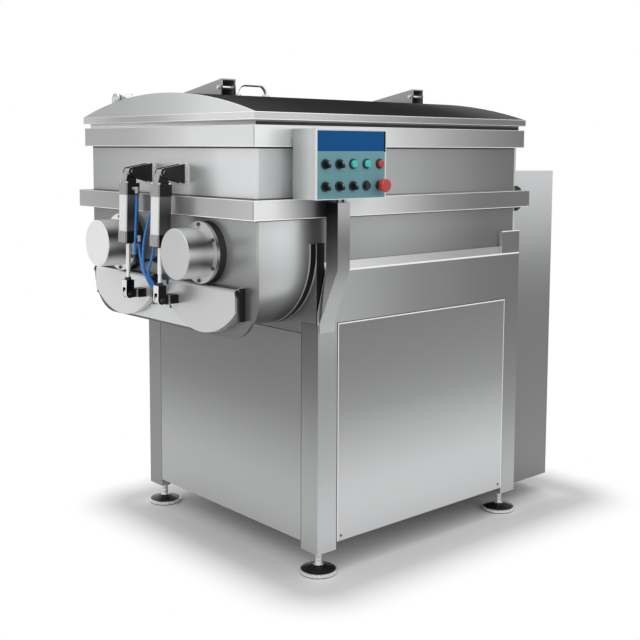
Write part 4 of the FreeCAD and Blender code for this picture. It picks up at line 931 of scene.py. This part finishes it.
class MIXER_OT_foot_threads(bpy.types.Operator):
    """Threads on the stems of the levelling feet"""

    bl_idname = "mixer.foot_threads"
    bl_label = "Foot threads"

    def execute(self, context):
        foot_low, foot_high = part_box("levelling_feet")
        reach = 0.0575
        centres = [
            (x, y, 0.0295) for x in (foot_low.x + reach, foot_high.x - reach)
            for y in (foot_low.y + reach, foot_high.y - reach)
        ]
        height = 0.030
        values = {
            "Thread Radius": 0.0098, "Height": height, "Turns": height / 0.0025, "Crest": 0.0008,
            "Turn": (0.0, 0.0, 0.0),
        }
        piece = grown("foot_threads", thread_tree(), centres, values, bolt_steel(), 50)
        put(piece, "base")
        return {"FINISHED"}


class MIXER_OT_band_edges(bpy.types.Operator):
    """Polished folded edges of the bands and of the lid's flange"""

    bl_idname = "mixer.band_edges"
    bl_label = "Band edges"

    def execute(self, context):
        radius = sizes().bead_radius
        groups = {
            "rim": (rim_low, rim_high, "base"), "belt": (belt_low, belt_high, "base"),
        }
        for name, (lowest, highest, body) in groups.items():
            builder = bmesh.new()
            for z in (lowest.z + radius, highest.z - radius):
                self.loop(builder, lowest, highest, z, radius)
            put(object_from(builder, name + "_edges", bead_steel(), 60), body)
        builder = bmesh.new()
        top = lid_flange_z - radius
        for z in (lid_low.z + radius, top):
            self.loop(builder, lid_low, lid_high, z, radius)
        put(object_from(builder, "lid_edges", bead_steel(), 60), "lid")
        return {"FINISHED"}

    def loop(self, builder, lowest, highest, z, radius):
        """A bead round a rectangle, with mitred corners."""
        corners = [
            (lowest.x, lowest.y, -1, -1), (highest.x, lowest.y, 1, -1),
            (highest.x, highest.y, 1, 1), (lowest.x, highest.y, -1, 1),
        ]
        rings = []
        for x, y, out_x, out_y in corners:
            ring = []
            for n in range(8):
                angle = 2 * math.pi * n / 8
                grow = radius * math.cos(angle) - radius * 0.55
                height = z + radius * math.sin(angle)
                ring.append(builder.verts.new((x + out_x * grow, y + out_y * grow, height)))
            rings.append(ring)
        for k in range(4):
            first, second = rings[k], rings[(k + 1) % 4]
            for n in range(8):
                builder.faces.new([first[n], first[(n + 1) % 8], second[(n + 1) % 8], second[n]])


class MIXER_OT_knob_marks(bpy.types.Operator):
    """Pointer marks on the selector switches"""

    bl_idname = "mixer.knob_marks"
    bl_label = "Knob marks"

    def execute(self, context):
        white = finish_of("mark_white", plain_plastic, (0.62, 0.62, 0.62), (0.4, 0.5))
        for number in range(1, 6):
            centre = pivot(f"selector_{number}_turn")
            face = low(f"selector_{number}").y
            builder = bmesh.new()
            add_block(builder, (-0.0008, -0.0003, 0.0015), (0.0008, 0.0004, 0.0085), 0.0002)
            turn = Matrix.Rotation(math.radians(-30), 4, "Y")
            place = Matrix.Translation((centre.x, face, centre.z)) @ turn
            bmesh.ops.transform(builder, matrix=place, verts=builder.verts)
            put(object_from(builder, f"selector_mark_{number}", white), f"selector_{number}")
        return {"FINISHED"}


class MIXER_OT_panel_film(bpy.types.Operator):
    """Film of the control panel with a header strip"""

    bl_idname = "mixer.panel_film"
    bl_label = "Control panel film"

    def execute(self, context):
        graph = Graph("panel_film", 0.0)
        graph.shader.inputs["Specular IOR Level"].default_value = 0.15
        print_grain = graph.noise(grain_of(700.0), 3.0, 0.7)
        cloud = graph.noise(grain_of(14.0), 2.0)
        field = graph.mix(print_grain, rgba(colours().panel, 0.9), rgba(colours().panel, 1.1))
        # Painted light: the field grows lighter towards the top
        field = graph.shade(graph.z, [(panel_low.z, 0.92), (panel_high.z, 1.12)], field)
        header = graph.mix(print_grain, rgba(colours().header, 0.85), rgba(colours().header, 1.2))
        border = panel_high.z - 0.061
        tone = graph.mix(graph.inside(graph.z, border, panel_high.z + 0.01), field, header)
        edge = (0.72, 0.74, 0.75, 1.0)
        tone = graph.mix(graph.inside(graph.z, panel_high.z - 0.0035, panel_high.z + 0.01), tone, edge)
        tone = graph.mix(graph.inside(graph.x, panel_low.x - 0.01, panel_low.x + 0.003), tone, edge)
        tone = graph.mix(graph.inside(graph.x, panel_high.x - 0.003, panel_high.x + 0.01), tone, edge)
        # Painted shade: a black strip in the gap along the panel's right edge
        strip = [
            graph.inside(graph.x, panel_high.x - 0.007, panel_high.x + 0.01),
            graph.inside(graph.z, border - 0.002, panel_high.z - 0.0035),
        ]
        tone = graph.mix(graph.both(strip), tone, (0.004, 0.004, 0.006, 1.0))
        material = graph.finish(tone, graph.remap(cloud, 0.3, 0.7, 0.34, 0.46), print_grain, 0.00005, 0.2)
        dress("control_panel", material)
        return {"FINISHED"}


def dress(node, material):
    """Gives a node of the frame its finish."""
    piece = frame["nodes"][node]
    piece.data.materials.clear()
    piece.data.materials.append(material)


class MIXER_OT_sheet_finishes(bpy.types.Operator):
    """Brushed and polished steel of the base, trough, bands, panels and lid, with painted light, shade and
    reflections
    """

    bl_idname = "mixer.sheet_finishes"
    bl_label = "Sheet steel finishes"

    def execute(self, context):
        steel = colours().steel
        self.base(steel)
        self.trough(steel)
        self.bands(colours().polished)
        # Cabinet and cover with painted shade over their height
        dress("drive_cabinet", brushed_steel("cabinet_sheet", steel, "z", PANEL_ROUGH, down=CABINET_DOWN))
        dress("cabinet_cover", brushed_steel("cover_sheet", steel, "z", PANEL_ROUGH, down=CABINET_DOWN))
        dress("control_post", self.post_sheet())
        dress("lid_hinge_brackets", brushed_steel("hinge_plate", rgba(steel, 0.7), "z", PANEL_ROUGH))
        dress("lid_pins", brushed_steel("pin_steel", colours().polished, "x", (0.15, 0.25), 0.9))
        dress("lid_arms", self.arm_sheet())
        dress("lid_vacuum_line", brushed_steel("vacuum_line", steel, "x", (0.2, 0.3), 0.9))
        dress("lid_shell", self.dome_sheet())
        return {"FINISHED"}

    def base(self, steel):
        # Painted highlights along the side panels' end edges and top edge, and painted shade over the
        # panels' height
        edges = [
            ("x", side_low.x - 0.001, side_low.x + 0.0025, 0.95),
            ("x", side_high.x - 0.0025, side_high.x + 0.001, 0.95),
            ("z", side_high.z - 0.0035, side_high.z + 0.001, 0.95),
        ]
        dress("side_panels", brushed_steel(
            "side_sheet", steel, "x", PANEL_ROUGH, down=SIDE_DOWN, lines=edges,
        ))
        dress("end_panels", brushed_steel("end_sheet", steel, "y", PANEL_ROUGH, down=END_DOWN))
        dress("base_frame", self.leg_sheet(steel))
        # Painted highlights along the ledge's fold and the apron's top fold; painted reflections along X and
        # on the upward ledge
        ledge = apron_top - 0.079
        fold_highlights = [
            ("z", ledge - 0.0035, ledge + 0.0015, 0.95), ("z", apron_top - 0.003, apron_top + 0.001, 0.95),
        ]
        dress("aprons", brushed_steel(
            "apron_sheet", steel, "x", (0.28, 0.4), side=APRON_SIDE, up=LEDGE_UP, lines=fold_highlights,
        ))

    def leg_sheet(self, steel):
        """Leg tubes with painted shade and reflections: the faces to the discharge end and to the side fall
        off differently.
        """
        graph = Graph("leg_tube", 0.7)
        tone, streaks = steel_grain(graph, steel, "z")
        near_front, far_front, near_side, drive_side = (
            graph.shade(graph.z, stops, tone)
            for stops in (LEG_NEAR_FRONT, LEG_FAR_FRONT, LEG_NEAR_SIDE, LEG_DRIVE_SIDE)
        )
        far = graph.remap(graph.y, mid_y - 0.05, mid_y + 0.05, 0.0, 1.0)
        drive = graph.remap(graph.x, -0.1, 0.2, 0.0, 1.0)
        front = graph.mix(far, near_front, far_front)
        side = graph.mix(drive, near_side, drive_side)
        tone = graph.mix(graph.looks(graph.facing()[0]), side, front)
        return graph.grained(tone, streaks, PANEL_ROUGH)

    def trough(self, steel):
        # Painted shadow lines under the rim and the belt, and a painted shade line along the belt's top
        shadow_lines = [
            ("z", rim_low.z - 0.005, rim_low.z, 0.05), ("z", belt_low.z - 0.0055, belt_low.z, 0.03),
            ("z", belt_high.z, belt_high.z + 0.003, 0.2),
        ]
        graph = Graph("trough_sheet", 0.6)
        tone, streaks = steel_grain(graph, steel, "x")
        # Painted reflections and shade: the wall and the barrel change along X, the barrel also over its
        # height
        wall = graph.shade(graph.x, WALL_SIDE, tone)
        barrel = graph.shade(graph.z, BARREL_DOWN, graph.shade(graph.x, BARREL_SIDE, tone))
        tone = graph.mix(graph.remap(graph.z, belt_low.z, belt_high.z, 0.0, 1.0), barrel, wall)
        for letter, start, end, grey in shadow_lines:
            tone = graph.mix(graph.inside(getattr(graph, letter), start, end), tone, grey_of(grey))
        inner = graph.inside(graph.y, low("trough_shell").y + 0.0045, high("trough_shell").y - 0.0045)
        tone = graph.mix(graph.both([inner, graph.looks(graph.facing()[0])]), tone, rgba(steel, 0.8))
        shell = graph.grained(tone, streaks, (0.29, 0.33))
        dress("trough_shell", shell)
        # End plate with painted reflections across it, painted shade over its height and the painted shadow
        # lines
        dress("end_plate_discharge", brushed_steel(
            "end_plate_sheet", steel, "y", (0.26, 0.36), 0.6, front=WALL_FRONT, down=FRONT_DOWN, lines=shadow_lines,
        ))
        dress("end_plate_drive", brushed_steel("drive_plate", rgba(steel, 0.7), "y"))
        dress("trough_saddles", self.saddle_sheet(steel))
        dress("outlet_seat", brushed_steel("seat_plate", rgba(steel, 0.8), "y", (0.25, 0.35)))

    def saddle_sheet(self, steel):
        """Saddles: front and rear lines painted bright as highlights round a middle painted dark as shade,
        and black infill behind them painted as shade.
        """
        graph = Graph("saddle_sheet", 0.6)
        tone, streaks = steel_grain(graph, steel, "z")
        tone = graph.shade(graph.z, SADDLE_DOWN, tone)
        side = graph.looks(graph.facing()[1], 0.2, 0.4)
        front = low("trough_saddles").x
        dark = graph.both([side, graph.inside(graph.x, front + 0.005, base_low.x - 0.003)])
        tone = graph.mix(dark, tone, grey_of(0.02))
        bright = graph.both([side, graph.either([
            graph.inside(graph.x, front - 0.001, front + 0.005),
            graph.inside(graph.x, base_low.x - 0.003, base_low.x),
        ])])
        tone = graph.mix(bright, tone, (0.75, 0.75, 0.76, 1.0))
        behind = graph.remap(graph.x, base_low.x + 0.0002, base_low.x + 0.0006, 0.0, 1.0)
        tone = graph.mix(behind, tone, grey_of(0.03))
        return graph.grained(tone, streaks, (0.28, 0.4))

    def post_sheet(self):
        """Post of the control box with painted shade: nearly black towards the trough's end, grey beside it.
        """
        graph = Graph("post_sheet", 0.6)
        tone, streaks = steel_grain(graph, colours().steel, "z")
        side = graph.shade(graph.z, POST_SIDE, tone)
        front = graph.shade(graph.z, POST_FRONT, tone)
        tone = graph.mix(graph.looks(graph.facing()[0]), side, front)
        return graph.grained(tone, streaks, PANEL_ROUGH)

    def bands(self, polished):
        """Bands with painted reflections along them, a painted highlight on their lower edge and a painted
        shade line at their near corner.
        """
        bands = {
            "rim": (rim_low, RIM_SIDE, RIM_FRONT, None), "belt": (belt_low, BELT_SIDE, BELT_FRONT, BELT_UP),
        }
        for name, (lowest, side, front, up) in bands.items():
            # Painted highlight along the lower edge and a painted shade line at the near corner
            edges = [
                ("z", lowest.z - 0.001, lowest.z + 0.0025, 0.95),
                ("Y", lowest.y + 0.0015, lowest.y + 0.004, 0.1),
            ]
            dress(name + "_band", brushed_steel(
                name + "_sheet", polished, "x", (0.2, 0.3), 0.6, side, front, up=up, lines=edges,
            ))

    def arm_sheet(self):
        """Folded arm with painted light: brushed sides painted in shade, a pale top painted as lit from
        above, and a dark line along its foot.
        """
        graph = Graph("arm_sheet", 0.7)
        tone, streaks = steel_grain(graph, rgba(colours().steel, 0.5), "y")
        z = graph.facing()[2]
        tone = graph.mix(graph.remap(z, 0.4, 0.7, 0.0, 1.0), tone, rgba(colours().steel, 0.8))
        face = graph.both([
            graph.inside(graph.y, low("lid_arms").y - 0.001, low("lid_arms").y + 0.002),
            graph.inside(graph.z, low("lid_arms").z, high("lid_shell").z + 0.024),
        ])
        tone = graph.mix(face, tone, grey_of(0.01))
        return graph.grained(tone, streaks, (0.28, 0.4))

    def dome_sheet(self):
        """Lid with painted reflections: pale end faces, a painted highlight on the edge and a painted dark
        reflection on the mirror-like top of the dome.
        """
        graph = Graph("dome_sheet", 0.6)
        tone, streaks = steel_grain(graph, colours().steel, "y")
        x, y, z = graph.facing()
        low_part = graph.remap(graph.z, lid_flange_z - 0.0005, lid_flange_z + 0.0005, 0.0, 1.0)
        strip = graph.shade(graph.y, LID_STRIP_FRONT, tone)
        end = graph.mix(low_part, strip, graph.shade(graph.y, LID_FRONT, tone))
        side = graph.shade(graph.x, LID_SIDE, tone)
        tone = graph.mix(graph.looks(x), side, end)
        top = graph.both([graph.remap(z, 0.3, 0.5, 0.0, 1.0), low_part])
        # Painted dark reflection on the dome's top, fading out towards the far side
        across = graph.noise((0.9, 4.0, 4.0), 2.0)
        dark = graph.mix(across, rgba(colours().dome_reflection_tone, 0.9), rgba(colours().dome_reflection_tone, 1.1))
        dark = graph.shade(graph.x, DOME_TOP, dark)
        crown = (lid_low.y + lid_high.y) / 2
        mirror = graph.both([top, graph.remap(graph.y, crown + 0.16, crown + 0.36, 1.0, 0.0)])
        tone = graph.mix(mirror, tone, dark)
        # Painted highlight along the end edges of the dome's top
        edge = graph.both([top, graph.either([
            graph.inside(graph.x, lid_low.x - 0.001, lid_low.x + 0.005),
            graph.inside(graph.x, lid_high.x - 0.006, lid_high.x + 0.001),
        ])])
        tone = graph.mix(edge, tone, rgba((0.8, 0.8, 0.8)))
        for socket, level in (("Metallic", 0.6), ("Specular IOR Level", 0.5)):
            graph.tree.links.new(graph.remap(mirror, 0.0, 1.0, level, 0.0), graph.shader.inputs[socket])
        return graph.finish(tone, graph.remap(top, 0.0, 1.0, 0.3, 0.22), streaks, 0.0001, 0.05)


class MIXER_OT_drive_finishes(bpy.types.Operator):
    """Finishes of the shafts, paddles, gears, bearings, motor and pump"""

    bl_idname = "mixer.drive_finishes"
    bl_label = "Drive finishes"

    def execute(self, context):
        steel = colours().steel
        turned = turned_steel("turned_steel", colours().polished, (near_y, far_y))
        dress("bearing_housings", self.housing())
        blade = brushed_steel("paddle_blades", steel, "z", (0.22, 0.32), 0.85)
        for side in ("near", "far"):
            dress("paddle_shaft_" + side, turned)
            dress("paddles_" + side, blade)
        teeth = brushed_steel("gear_steel", (0.40, 0.41, 0.43), "x", (0.3, 0.45), 0.9)
        for node in ("drive_pinion", "idler_gear"):
            dress(node, teeth)
        dress("shaft_bearings", brushed_steel("bearing_steel", (0.5, 0.5, 0.5), "x", (0.2, 0.3), 0.9))
        dress("shaft_seals", plain_plastic("seal_rubber", colours().rubber, (0.5, 0.65), 500.0))
        dress("gearmotor", self.machine_paint("motor_paint", (0.25, 0.31, 0.38)))
        dress("vacuum_pump", self.machine_paint("pump_paint", (0.30, 0.34, 0.36)))
        dress("levelling_feet", self.feet())
        dress("corner_buffers", dark_rubber())
        return {"FINISHED"}

    def housing(self):
        """Bearing housings: plain faced ends, the near one darkened by painted shade, and a barrel with the
        bands that bent steel mirrors, painted as reflections.
        """
        graph = Graph("housing_steel", 0.5)
        tone, streaks = steel_grain(graph, colours().polished, "y")
        shade_levels = [(near_y - 0.1, 0.7), (near_y + 0.1, 0.7), (far_y - 0.1, 1.0), (far_y + 0.1, 1.0)]
        ends = graph.shade(graph.y, shade_levels, tone)
        barrel = graph.shade(graph.z, HOUSING_DOWN, tone)
        tone = graph.mix(graph.looks(graph.facing()[0], 0.6, 0.8), barrel, ends)
        return graph.grained(tone, streaks, (0.29, 0.32), 0.0001, 0.1)

    def machine_paint(self, name, colour):
        graph = Graph(name, 0.0, 0.15)
        peel = graph.noise(grain_of(160.0), 3.0)
        tone = graph.mix(graph.noise(grain_of(9.0)), rgba(colour, 0.88), rgba(colour, 1.12))
        return graph.grained(tone, peel, (0.35, 0.5), 0.0003, 0.2)

    def feet(self):
        """Bright rim and stem with a black top to the pad."""
        graph = Graph("foot_pads", 0.0)
        cloud = graph.noise(grain_of(50.0))
        graph.shader.inputs["Metallic"].default_value = 0.6
        top = graph.inside(graph.z, 0.0130, 0.0262)
        bright = graph.mix(cloud, rgba(colours().polished, 0.9), rgba(colours().polished, 1.0))
        black = graph.mix(cloud, rgba(colours().black, 0.8), rgba(colours().black, 1.6))
        under = graph.inside(graph.z, -0.001, 0.0028)
        tone = graph.mix(graph.either([top, under]), bright, black)
        return graph.grained(tone, cloud, (0.2, 0.34), 0.0002, 0.15)


class MIXER_OT_door_finishes(bpy.types.Operator):
    """Finishes of the doors, their ears, the cylinders, rods and air fittings"""

    bl_idname = "mixer.door_finishes"
    bl_label = "Door finishes"

    def execute(self, context):
        # Painted shade: the near door is painted darker than the far one
        dress("door_near", self.door("door_sheet_near", 0.72))
        dress("door_far", self.door("door_sheet_far", 0.84))
        dress("door_hinge_ears", self.ears())
        dress("door_gaskets", plain_plastic("gasket_rubber", (0.5, 0.51, 0.5), (0.5, 0.6), 300.0))
        dress("lid_seal", self.seal())
        dress("cylinder_brackets", self.brackets())
        for name, place in cylinder_pivots.items():
            dress("cylinder_" + name, self.cylinder(name, place))
            dress("rod_" + name, self.rod(name))
        dress("air_manifold", plain_plastic("manifold_black", colours().black, (0.3, 0.45)))
        return {"FINISHED"}

    def seal(self):
        """Lid seal: in the light at the far front, in the lid's shadow elsewhere."""
        graph = Graph("lid_seal_rubber", 0.0)
        grain = graph.noise(grain_of(300.0), 2.0)
        tone = graph.mix(grain, grey_of(0.9), grey_of(1.0))
        front = graph.shade(graph.y, SEAL_FRONT, tone)
        side = graph.shade(graph.x, [(-0.68, 0.03), (0.52, 0.02)], tone)
        upper = graph.remap(graph.z, rim_high.z + 0.009, rim_high.z + 0.011, 0.0, 1.0)
        side = graph.mix(upper, side, grey_of(0.35))
        tone = graph.mix(graph.looks(graph.facing()[0]), side, front)
        return graph.grained(tone, grain, (0.5, 0.6), 0.0001, 0.1)

    def door(self, name, painted_shade_level):
        graph = Graph(name, 0.6)
        tone, streaks = steel_grain(graph, rgba(colours().polished, painted_shade_level), "y")
        # Painted highlights on the horns' faces to the discharge end, black beside them
        front = door_hinge.x - 0.010
        horn = graph.remap(graph.x, front - 0.0006, front - 0.0002, 1.0, 0.0)
        pale = graph.remap(graph.facing()[0], -0.8, -0.6, 1.0, 0.0)
        horn_tone = graph.mix(pale, rgba(colours().black, 0.5), (0.7, 0.7, 0.71, 1.0))
        tone = graph.mix(horn, tone, horn_tone)
        return graph.grained(tone, streaks, (0.3, 0.4), 0.0001, 0.1)

    def black_part(self, name, pale_start=-0.8):
        """Black with pale faces to the discharge end and a pale upper edge, painted as the highlights that
        polished black iron shows.
        """
        graph = Graph(name, 0.1)
        cloud = graph.noise(grain_of(60.0))
        x, y, z = graph.facing()
        black = graph.mix(cloud, rgba(colours().black, 0.4), rgba(colours().black, 0.9))
        pale = graph.remap(x, pale_start, pale_start + 0.25, 1.0, 0.0)
        tone = graph.mix(pale, black, (0.42, 0.42, 0.43, 1.0))
        tone = graph.mix(graph.remap(z, 0.8, 0.95, 0.0, 1.0), tone, (0.55, 0.55, 0.56, 1.0))
        return graph, cloud, tone

    def ears(self):
        graph, cloud, tone = self.black_part("ear_black", -2.0)
        return graph.grained(tone, cloud, (0.28, 0.42), 0.0002, 0.1)

    def brackets(self):
        graph, cloud, tone = self.black_part("bracket_black")
        plate = graph.inside(graph.x, plate_x - 0.0045, plate_x + 0.001)
        tone = graph.mix(plate, tone, rgba(colours().steel, 0.9))
        return graph.grained(tone, cloud, (0.3, 0.45), 0.0002, 0.1)

    def cylinder(self, name, place):
        """Pale faces to the discharge end, painted as highlights on the black caps; black caps, and a barrel
        painted dark beside as shade.
        """
        graph = Graph("cylinder_" + name, 0.15)
        tone, streaks = steel_grain(graph, colours().polished, "z")
        pale = graph.remap(graph.facing()[0], -0.8, -0.55, 1.0, 0.0)
        caps = graph.either([
            graph.inside(graph.z, place.z - 0.0712, place.z + 0.02),
            graph.inside(graph.z, place.z - 0.24, place.z - 0.1858),
        ])
        shade_levels = [(place.z - 0.19, 0.12), (place.z - 0.13, 0.05), (place.z - 0.07, 0.16)]
        beside = graph.shade(graph.z, shade_levels, tone)
        barrel = graph.mix(pale, beside, tone)
        black = graph.mix(streaks, rgba(colours().black, 0.3), rgba(colours().black, 0.6))
        cap = graph.mix(pale, black, (0.36, 0.36, 0.37, 1.0))
        fittings = graph.either([
            graph.inside(graph.y, place.y - 0.08, place.y - 0.0252),
            graph.inside(graph.y, place.y + 0.0252, place.y + 0.08),
        ])
        tone = graph.mix(caps, barrel, cap)
        tone = graph.mix(fittings, tone, rgba((0.45, 0.46, 0.47)))
        return graph.grained(tone, streaks, (0.26, 0.38))

    def rod(self, name):
        """Bright rod and pin; a fork with painted highlights on its faces to the discharge end and black
        beside.
        """
        graph = Graph("rod_" + name, 0.6)
        tone, streaks = steel_grain(graph, colours().polished, "z")
        pale = graph.remap(graph.facing()[0], -0.8, -0.55, 1.0, 0.0)
        fork = graph.inside(graph.z, FORK_PIN_Z - 0.03, FORK_PIN_Z + 0.0438)
        radius = graph.distance(graph.x, FORK_PIN_X, graph.z, FORK_PIN_Z)
        pin = graph.inside(radius, -0.01, 0.0063)
        nut = graph.inside(graph.z, FORK_PIN_Z + 0.0438, FORK_PIN_Z + 0.0522)
        fork_tone = graph.mix(pale, rgba(colours().black, 0.5), (0.8, 0.8, 0.81, 1.0))
        tone = graph.mix(fork, tone, fork_tone)
        tone = graph.mix(nut, tone, rgba(colours().black, 2.2))
        tone = graph.mix(graph.both([pin, graph.looks(graph.facing()[1])]), tone, rgba(colours().black, 2.0))
        return graph.grained(tone, streaks, (0.16, 0.28))


class MIXER_OT_control_finishes(bpy.types.Operator):
    """Finishes of the control box, bezels, switches and buttons"""

    bl_idname = "mixer.control_finishes"
    bl_label = "Control finishes"

    def execute(self, context):
        graph = Graph("box_paint", 0.15)
        cloud = graph.noise(grain_of(7.0))
        peel = graph.noise(grain_of(260.0), 2.0)
        tone = graph.mix(cloud, rgba((0.60, 0.61, 0.61)), rgba((0.68, 0.69, 0.69)))
        # Painted highlight along the front edge; painted shade on the faces that look along X, darker
        # towards the back
        edge = graph.inside(graph.y, box_low.y - 0.001, box_low.y + 0.003)
        tone = graph.mix(edge, tone, rgba((0.9, 0.91, 0.92)))
        shade_levels = [(box_low.y, 1.15), (-0.50, 0.95), (-0.47, 0.70), (box_high.y, 0.45)]
        end = graph.shade(graph.y, shade_levels, tone)
        tone = graph.mix(graph.looks(graph.facing()[0]), tone, end)
        dress("control_box", graph.finish(tone, graph.remap(cloud, 0.3, 0.7, 0.32, 0.44), peel, 0.0001, 0.2))
        dress("control_bezels", self.bezels())
        knob = black_plastic()
        for number in range(1, 6):
            dress(f"selector_{number}", knob)
        dress("reset_button", knob)
        green = plain_plastic("button_green", colours().green, (0.12, 0.2), 400.0, 0.5)
        dress("start_button_1", green)
        dress("start_button_2", green)
        dress("stop_button", plain_plastic("button_red", colours().red, (0.12, 0.2), 400.0, 0.5))
        dress("emergency_stop", self.mushroom())
        return {"FINISHED"}

    def bezels(self):
        graph = Graph("bezel_black", 0.03)
        cloud = graph.noise(grain_of(80.0))
        tone = graph.mix(cloud, rgba(colours().black, 0.5), rgba(colours().black, 1.0))
        return graph.grained(tone, cloud, PANEL_ROUGH, 0.0001, 0.2)

    def mushroom(self):
        graph = Graph("mushroom_red", 0.0, 0.5)
        cloud = graph.noise(grain_of(70.0))
        cap = low("emergency_stop").y + 0.0152
        red = graph.mix(cloud, rgba(colours().red, 0.9), rgba(colours().red, 1.1))
        behind = graph.remap(graph.y, cap - 0.0002, cap + 0.0002, 0.0, 1.0)
        tone = graph.mix(behind, red, rgba(colours().black))
        return graph.grained(tone, cloud, (0.1, 0.18), 0.0001, 0.1)


class MIXER_OT_stage(bpy.types.Operator):
    """Floor, soft lamps, pale surroundings and the camera"""

    bl_idname = "mixer.stage"
    bl_label = "Stage"

    def execute(self, context):
        self.floor()
        self.surroundings()
        for lamp in LAMPS:
            self.lamp(*lamp)
        self.camera()
        scene = context.scene
        scene.view_settings.view_transform = "Standard"
        return {"FINISHED"}

    def floor(self):
        """Plain floor: lit where the machine shades it, with painted shade round the machine's footprint,
        and as white as the backdrop further out.
        """
        builder = bmesh.new()
        half = 30.0
        signs = ((-1, -1), (1, -1), (1, 1), (-1, 1))
        builder.faces.new([builder.verts.new((x * half, y * half, 0.0)) for x, y in signs])
        graph = Graph("studio_floor", 0.0, 0.0, 1.5)
        graph.shader.inputs["Roughness"].default_value = 0.6
        graph.shader.inputs["Specular IOR Level"].default_value = 0.1
        past = []
        for value, (start, end) in ((graph.x, SHADED_X), (graph.y, SHADED_Y)):
            centred = graph.math("ABSOLUTE", graph.math("SUBTRACT", value, (start + end) / 2))
            past.append(graph.math("MAXIMUM", graph.math("SUBTRACT", centred, (end - start) / 2), 0.0))
        length = graph.distance(past[0], 0.0, past[1], 0.0)
        away = graph.remap(length, 0.0, 0.30, 0.0, 1.0)
        # Painted shade: the floor's colour darkens from the footprint's edge outwards, where the machine's
        # shadow falls
        under = graph.remap(length, 0.0, 0.10, 1.0, 0.62, smooth=False)
        tone = graph.mix(1.0, rgba(colours().floor), under, "MULTIPLY")
        graph.tree.links.new(tone, graph.shader.inputs["Base Color"])
        path = graph.add("ShaderNodeLightPath", {}).outputs
        seen = graph.math("MAXIMUM", path["Is Camera Ray"], path["Is Glossy Ray"])
        glow = graph.add("ShaderNodeEmission", {})
        mixed = graph.add("ShaderNodeMixShader", {
            0: graph.math("MULTIPLY", seen, away), 1: graph.shader.outputs[0], 2: glow.outputs[0],
        })
        graph.tree.links.new(mixed.outputs[0], graph.output.inputs["Surface"])
        object_from(builder, "studio_floor", graph.material)

    def surroundings(self):
        """Pale surroundings, a little stronger in mirrored light and white to the camera."""
        world = bpy.data.worlds.new("studio")
        bpy.context.scene.world = world
        world.use_nodes = True
        nodes = Nodes(world.node_tree)
        nodes.tree.nodes.clear()
        place = nodes.add("ShaderNodeTexCoord", {}).outputs["Generated"]
        height = nodes.add("ShaderNodeSeparateXYZ", {0: place}).outputs[2]
        tone = nodes.ramp(nodes.add("ShaderNodeMapRange", {0: height, 1: -1.0}).outputs[0], SKY_UP)
        path = nodes.add("ShaderNodeLightPath", {}).outputs
        light, mirrored = (
            nodes.add("ShaderNodeBackground", {"Color": tone, "Strength": strength})
            for strength in (0.9, 1.2)
        )
        white = nodes.add("ShaderNodeBackground", {"Color": grey_of(1.0)})
        inner = nodes.add("ShaderNodeMixShader", {
            0: path["Is Glossy Ray"], 1: light.outputs[0], 2: mirrored.outputs[0],
        })
        outer = nodes.add("ShaderNodeMixShader", {
            0: path["Is Camera Ray"], 1: inner.outputs[0], 2: white.outputs[0],
        })
        nodes.add("ShaderNodeOutputWorld", {"Surface": outer.outputs[0]})

    def lamp(self, name, place, size, power):
        data = bpy.data.lights.new(name, "AREA")
        data.size = size
        data.energy = power
        lamp = bpy.data.objects.new(name, data)
        bpy.context.scene.collection.objects.link(lamp)
        lamp.location = place
        aim = Vector((0.0, 0.0, 0.7)) - Vector(place)
        lamp.rotation_euler = aim.to_track_quat("-Z", "Y").to_euler()

    def camera(self):
        data = bpy.data.cameras.new("camera")
        data.sensor_width = 36.0
        data.lens = CAMERA_LENS
        data.shift_y = CAMERA_SHIFT
        data.clip_end = 100.0
        camera = bpy.data.objects.new("camera", data)
        bpy.context.scene.collection.objects.link(camera)
        camera.location = CAMERA_PLACE
        camera.rotation_euler = CAMERA_TURN
        bpy.context.scene.camera = camera


OPERATORS = (
    MIXER_OT_stage, MIXER_OT_hoses, MIXER_OT_push_in_collars, MIXER_OT_flange_bolts,
    MIXER_OT_sheet_screws, MIXER_OT_cylinder_fittings, MIXER_OT_rod_threads, MIXER_OT_foot_threads,
    MIXER_OT_band_edges, MIXER_OT_knob_marks, MIXER_OT_panel_film, MIXER_OT_sheet_finishes,
    MIXER_OT_drive_finishes, MIXER_OT_door_finishes, MIXER_OT_control_finishes,
)


class MIXER_PT_pieces(bpy.types.Panel):
    """Lists the mixer's pieces, sizes and colours"""

    bl_idname = "MIXER_PT_pieces"
    bl_label = "Vacuum mixer"
    bl_space_type = "VIEW_3D"
    bl_region_type = "UI"
    bl_category = "Mixer"

    def draw(self, context):
        for operator in OPERATORS:
            self.layout.operator(operator.bl_idname)
        for group in (context.scene.mixer_sizes, context.scene.mixer_colours):
            for name in group.bl_rna.properties.keys():
                if name not in ("rna_type", "name"):
                    self.layout.prop(group, name)


CLASSES = (MixerSizes, MixerColours) + OPERATORS + (MIXER_PT_pieces,)


def register():
    for item in CLASSES:
        bpy.utils.register_class(item)
    bpy.types.Scene.mixer_sizes = PointerProperty(type=MixerSizes)
    bpy.types.Scene.mixer_colours = PointerProperty(type=MixerColours)


def unregister():
    del bpy.types.Scene.mixer_sizes
    del bpy.types.Scene.mixer_colours
    for item in reversed(CLASSES):
        bpy.utils.unregister_class(item)


def main():
    register()
    for operator in OPERATORS:
        getattr(bpy.ops.mixer, operator.bl_idname.split(".")[1])()


if __name__ == "__main__":
    main()
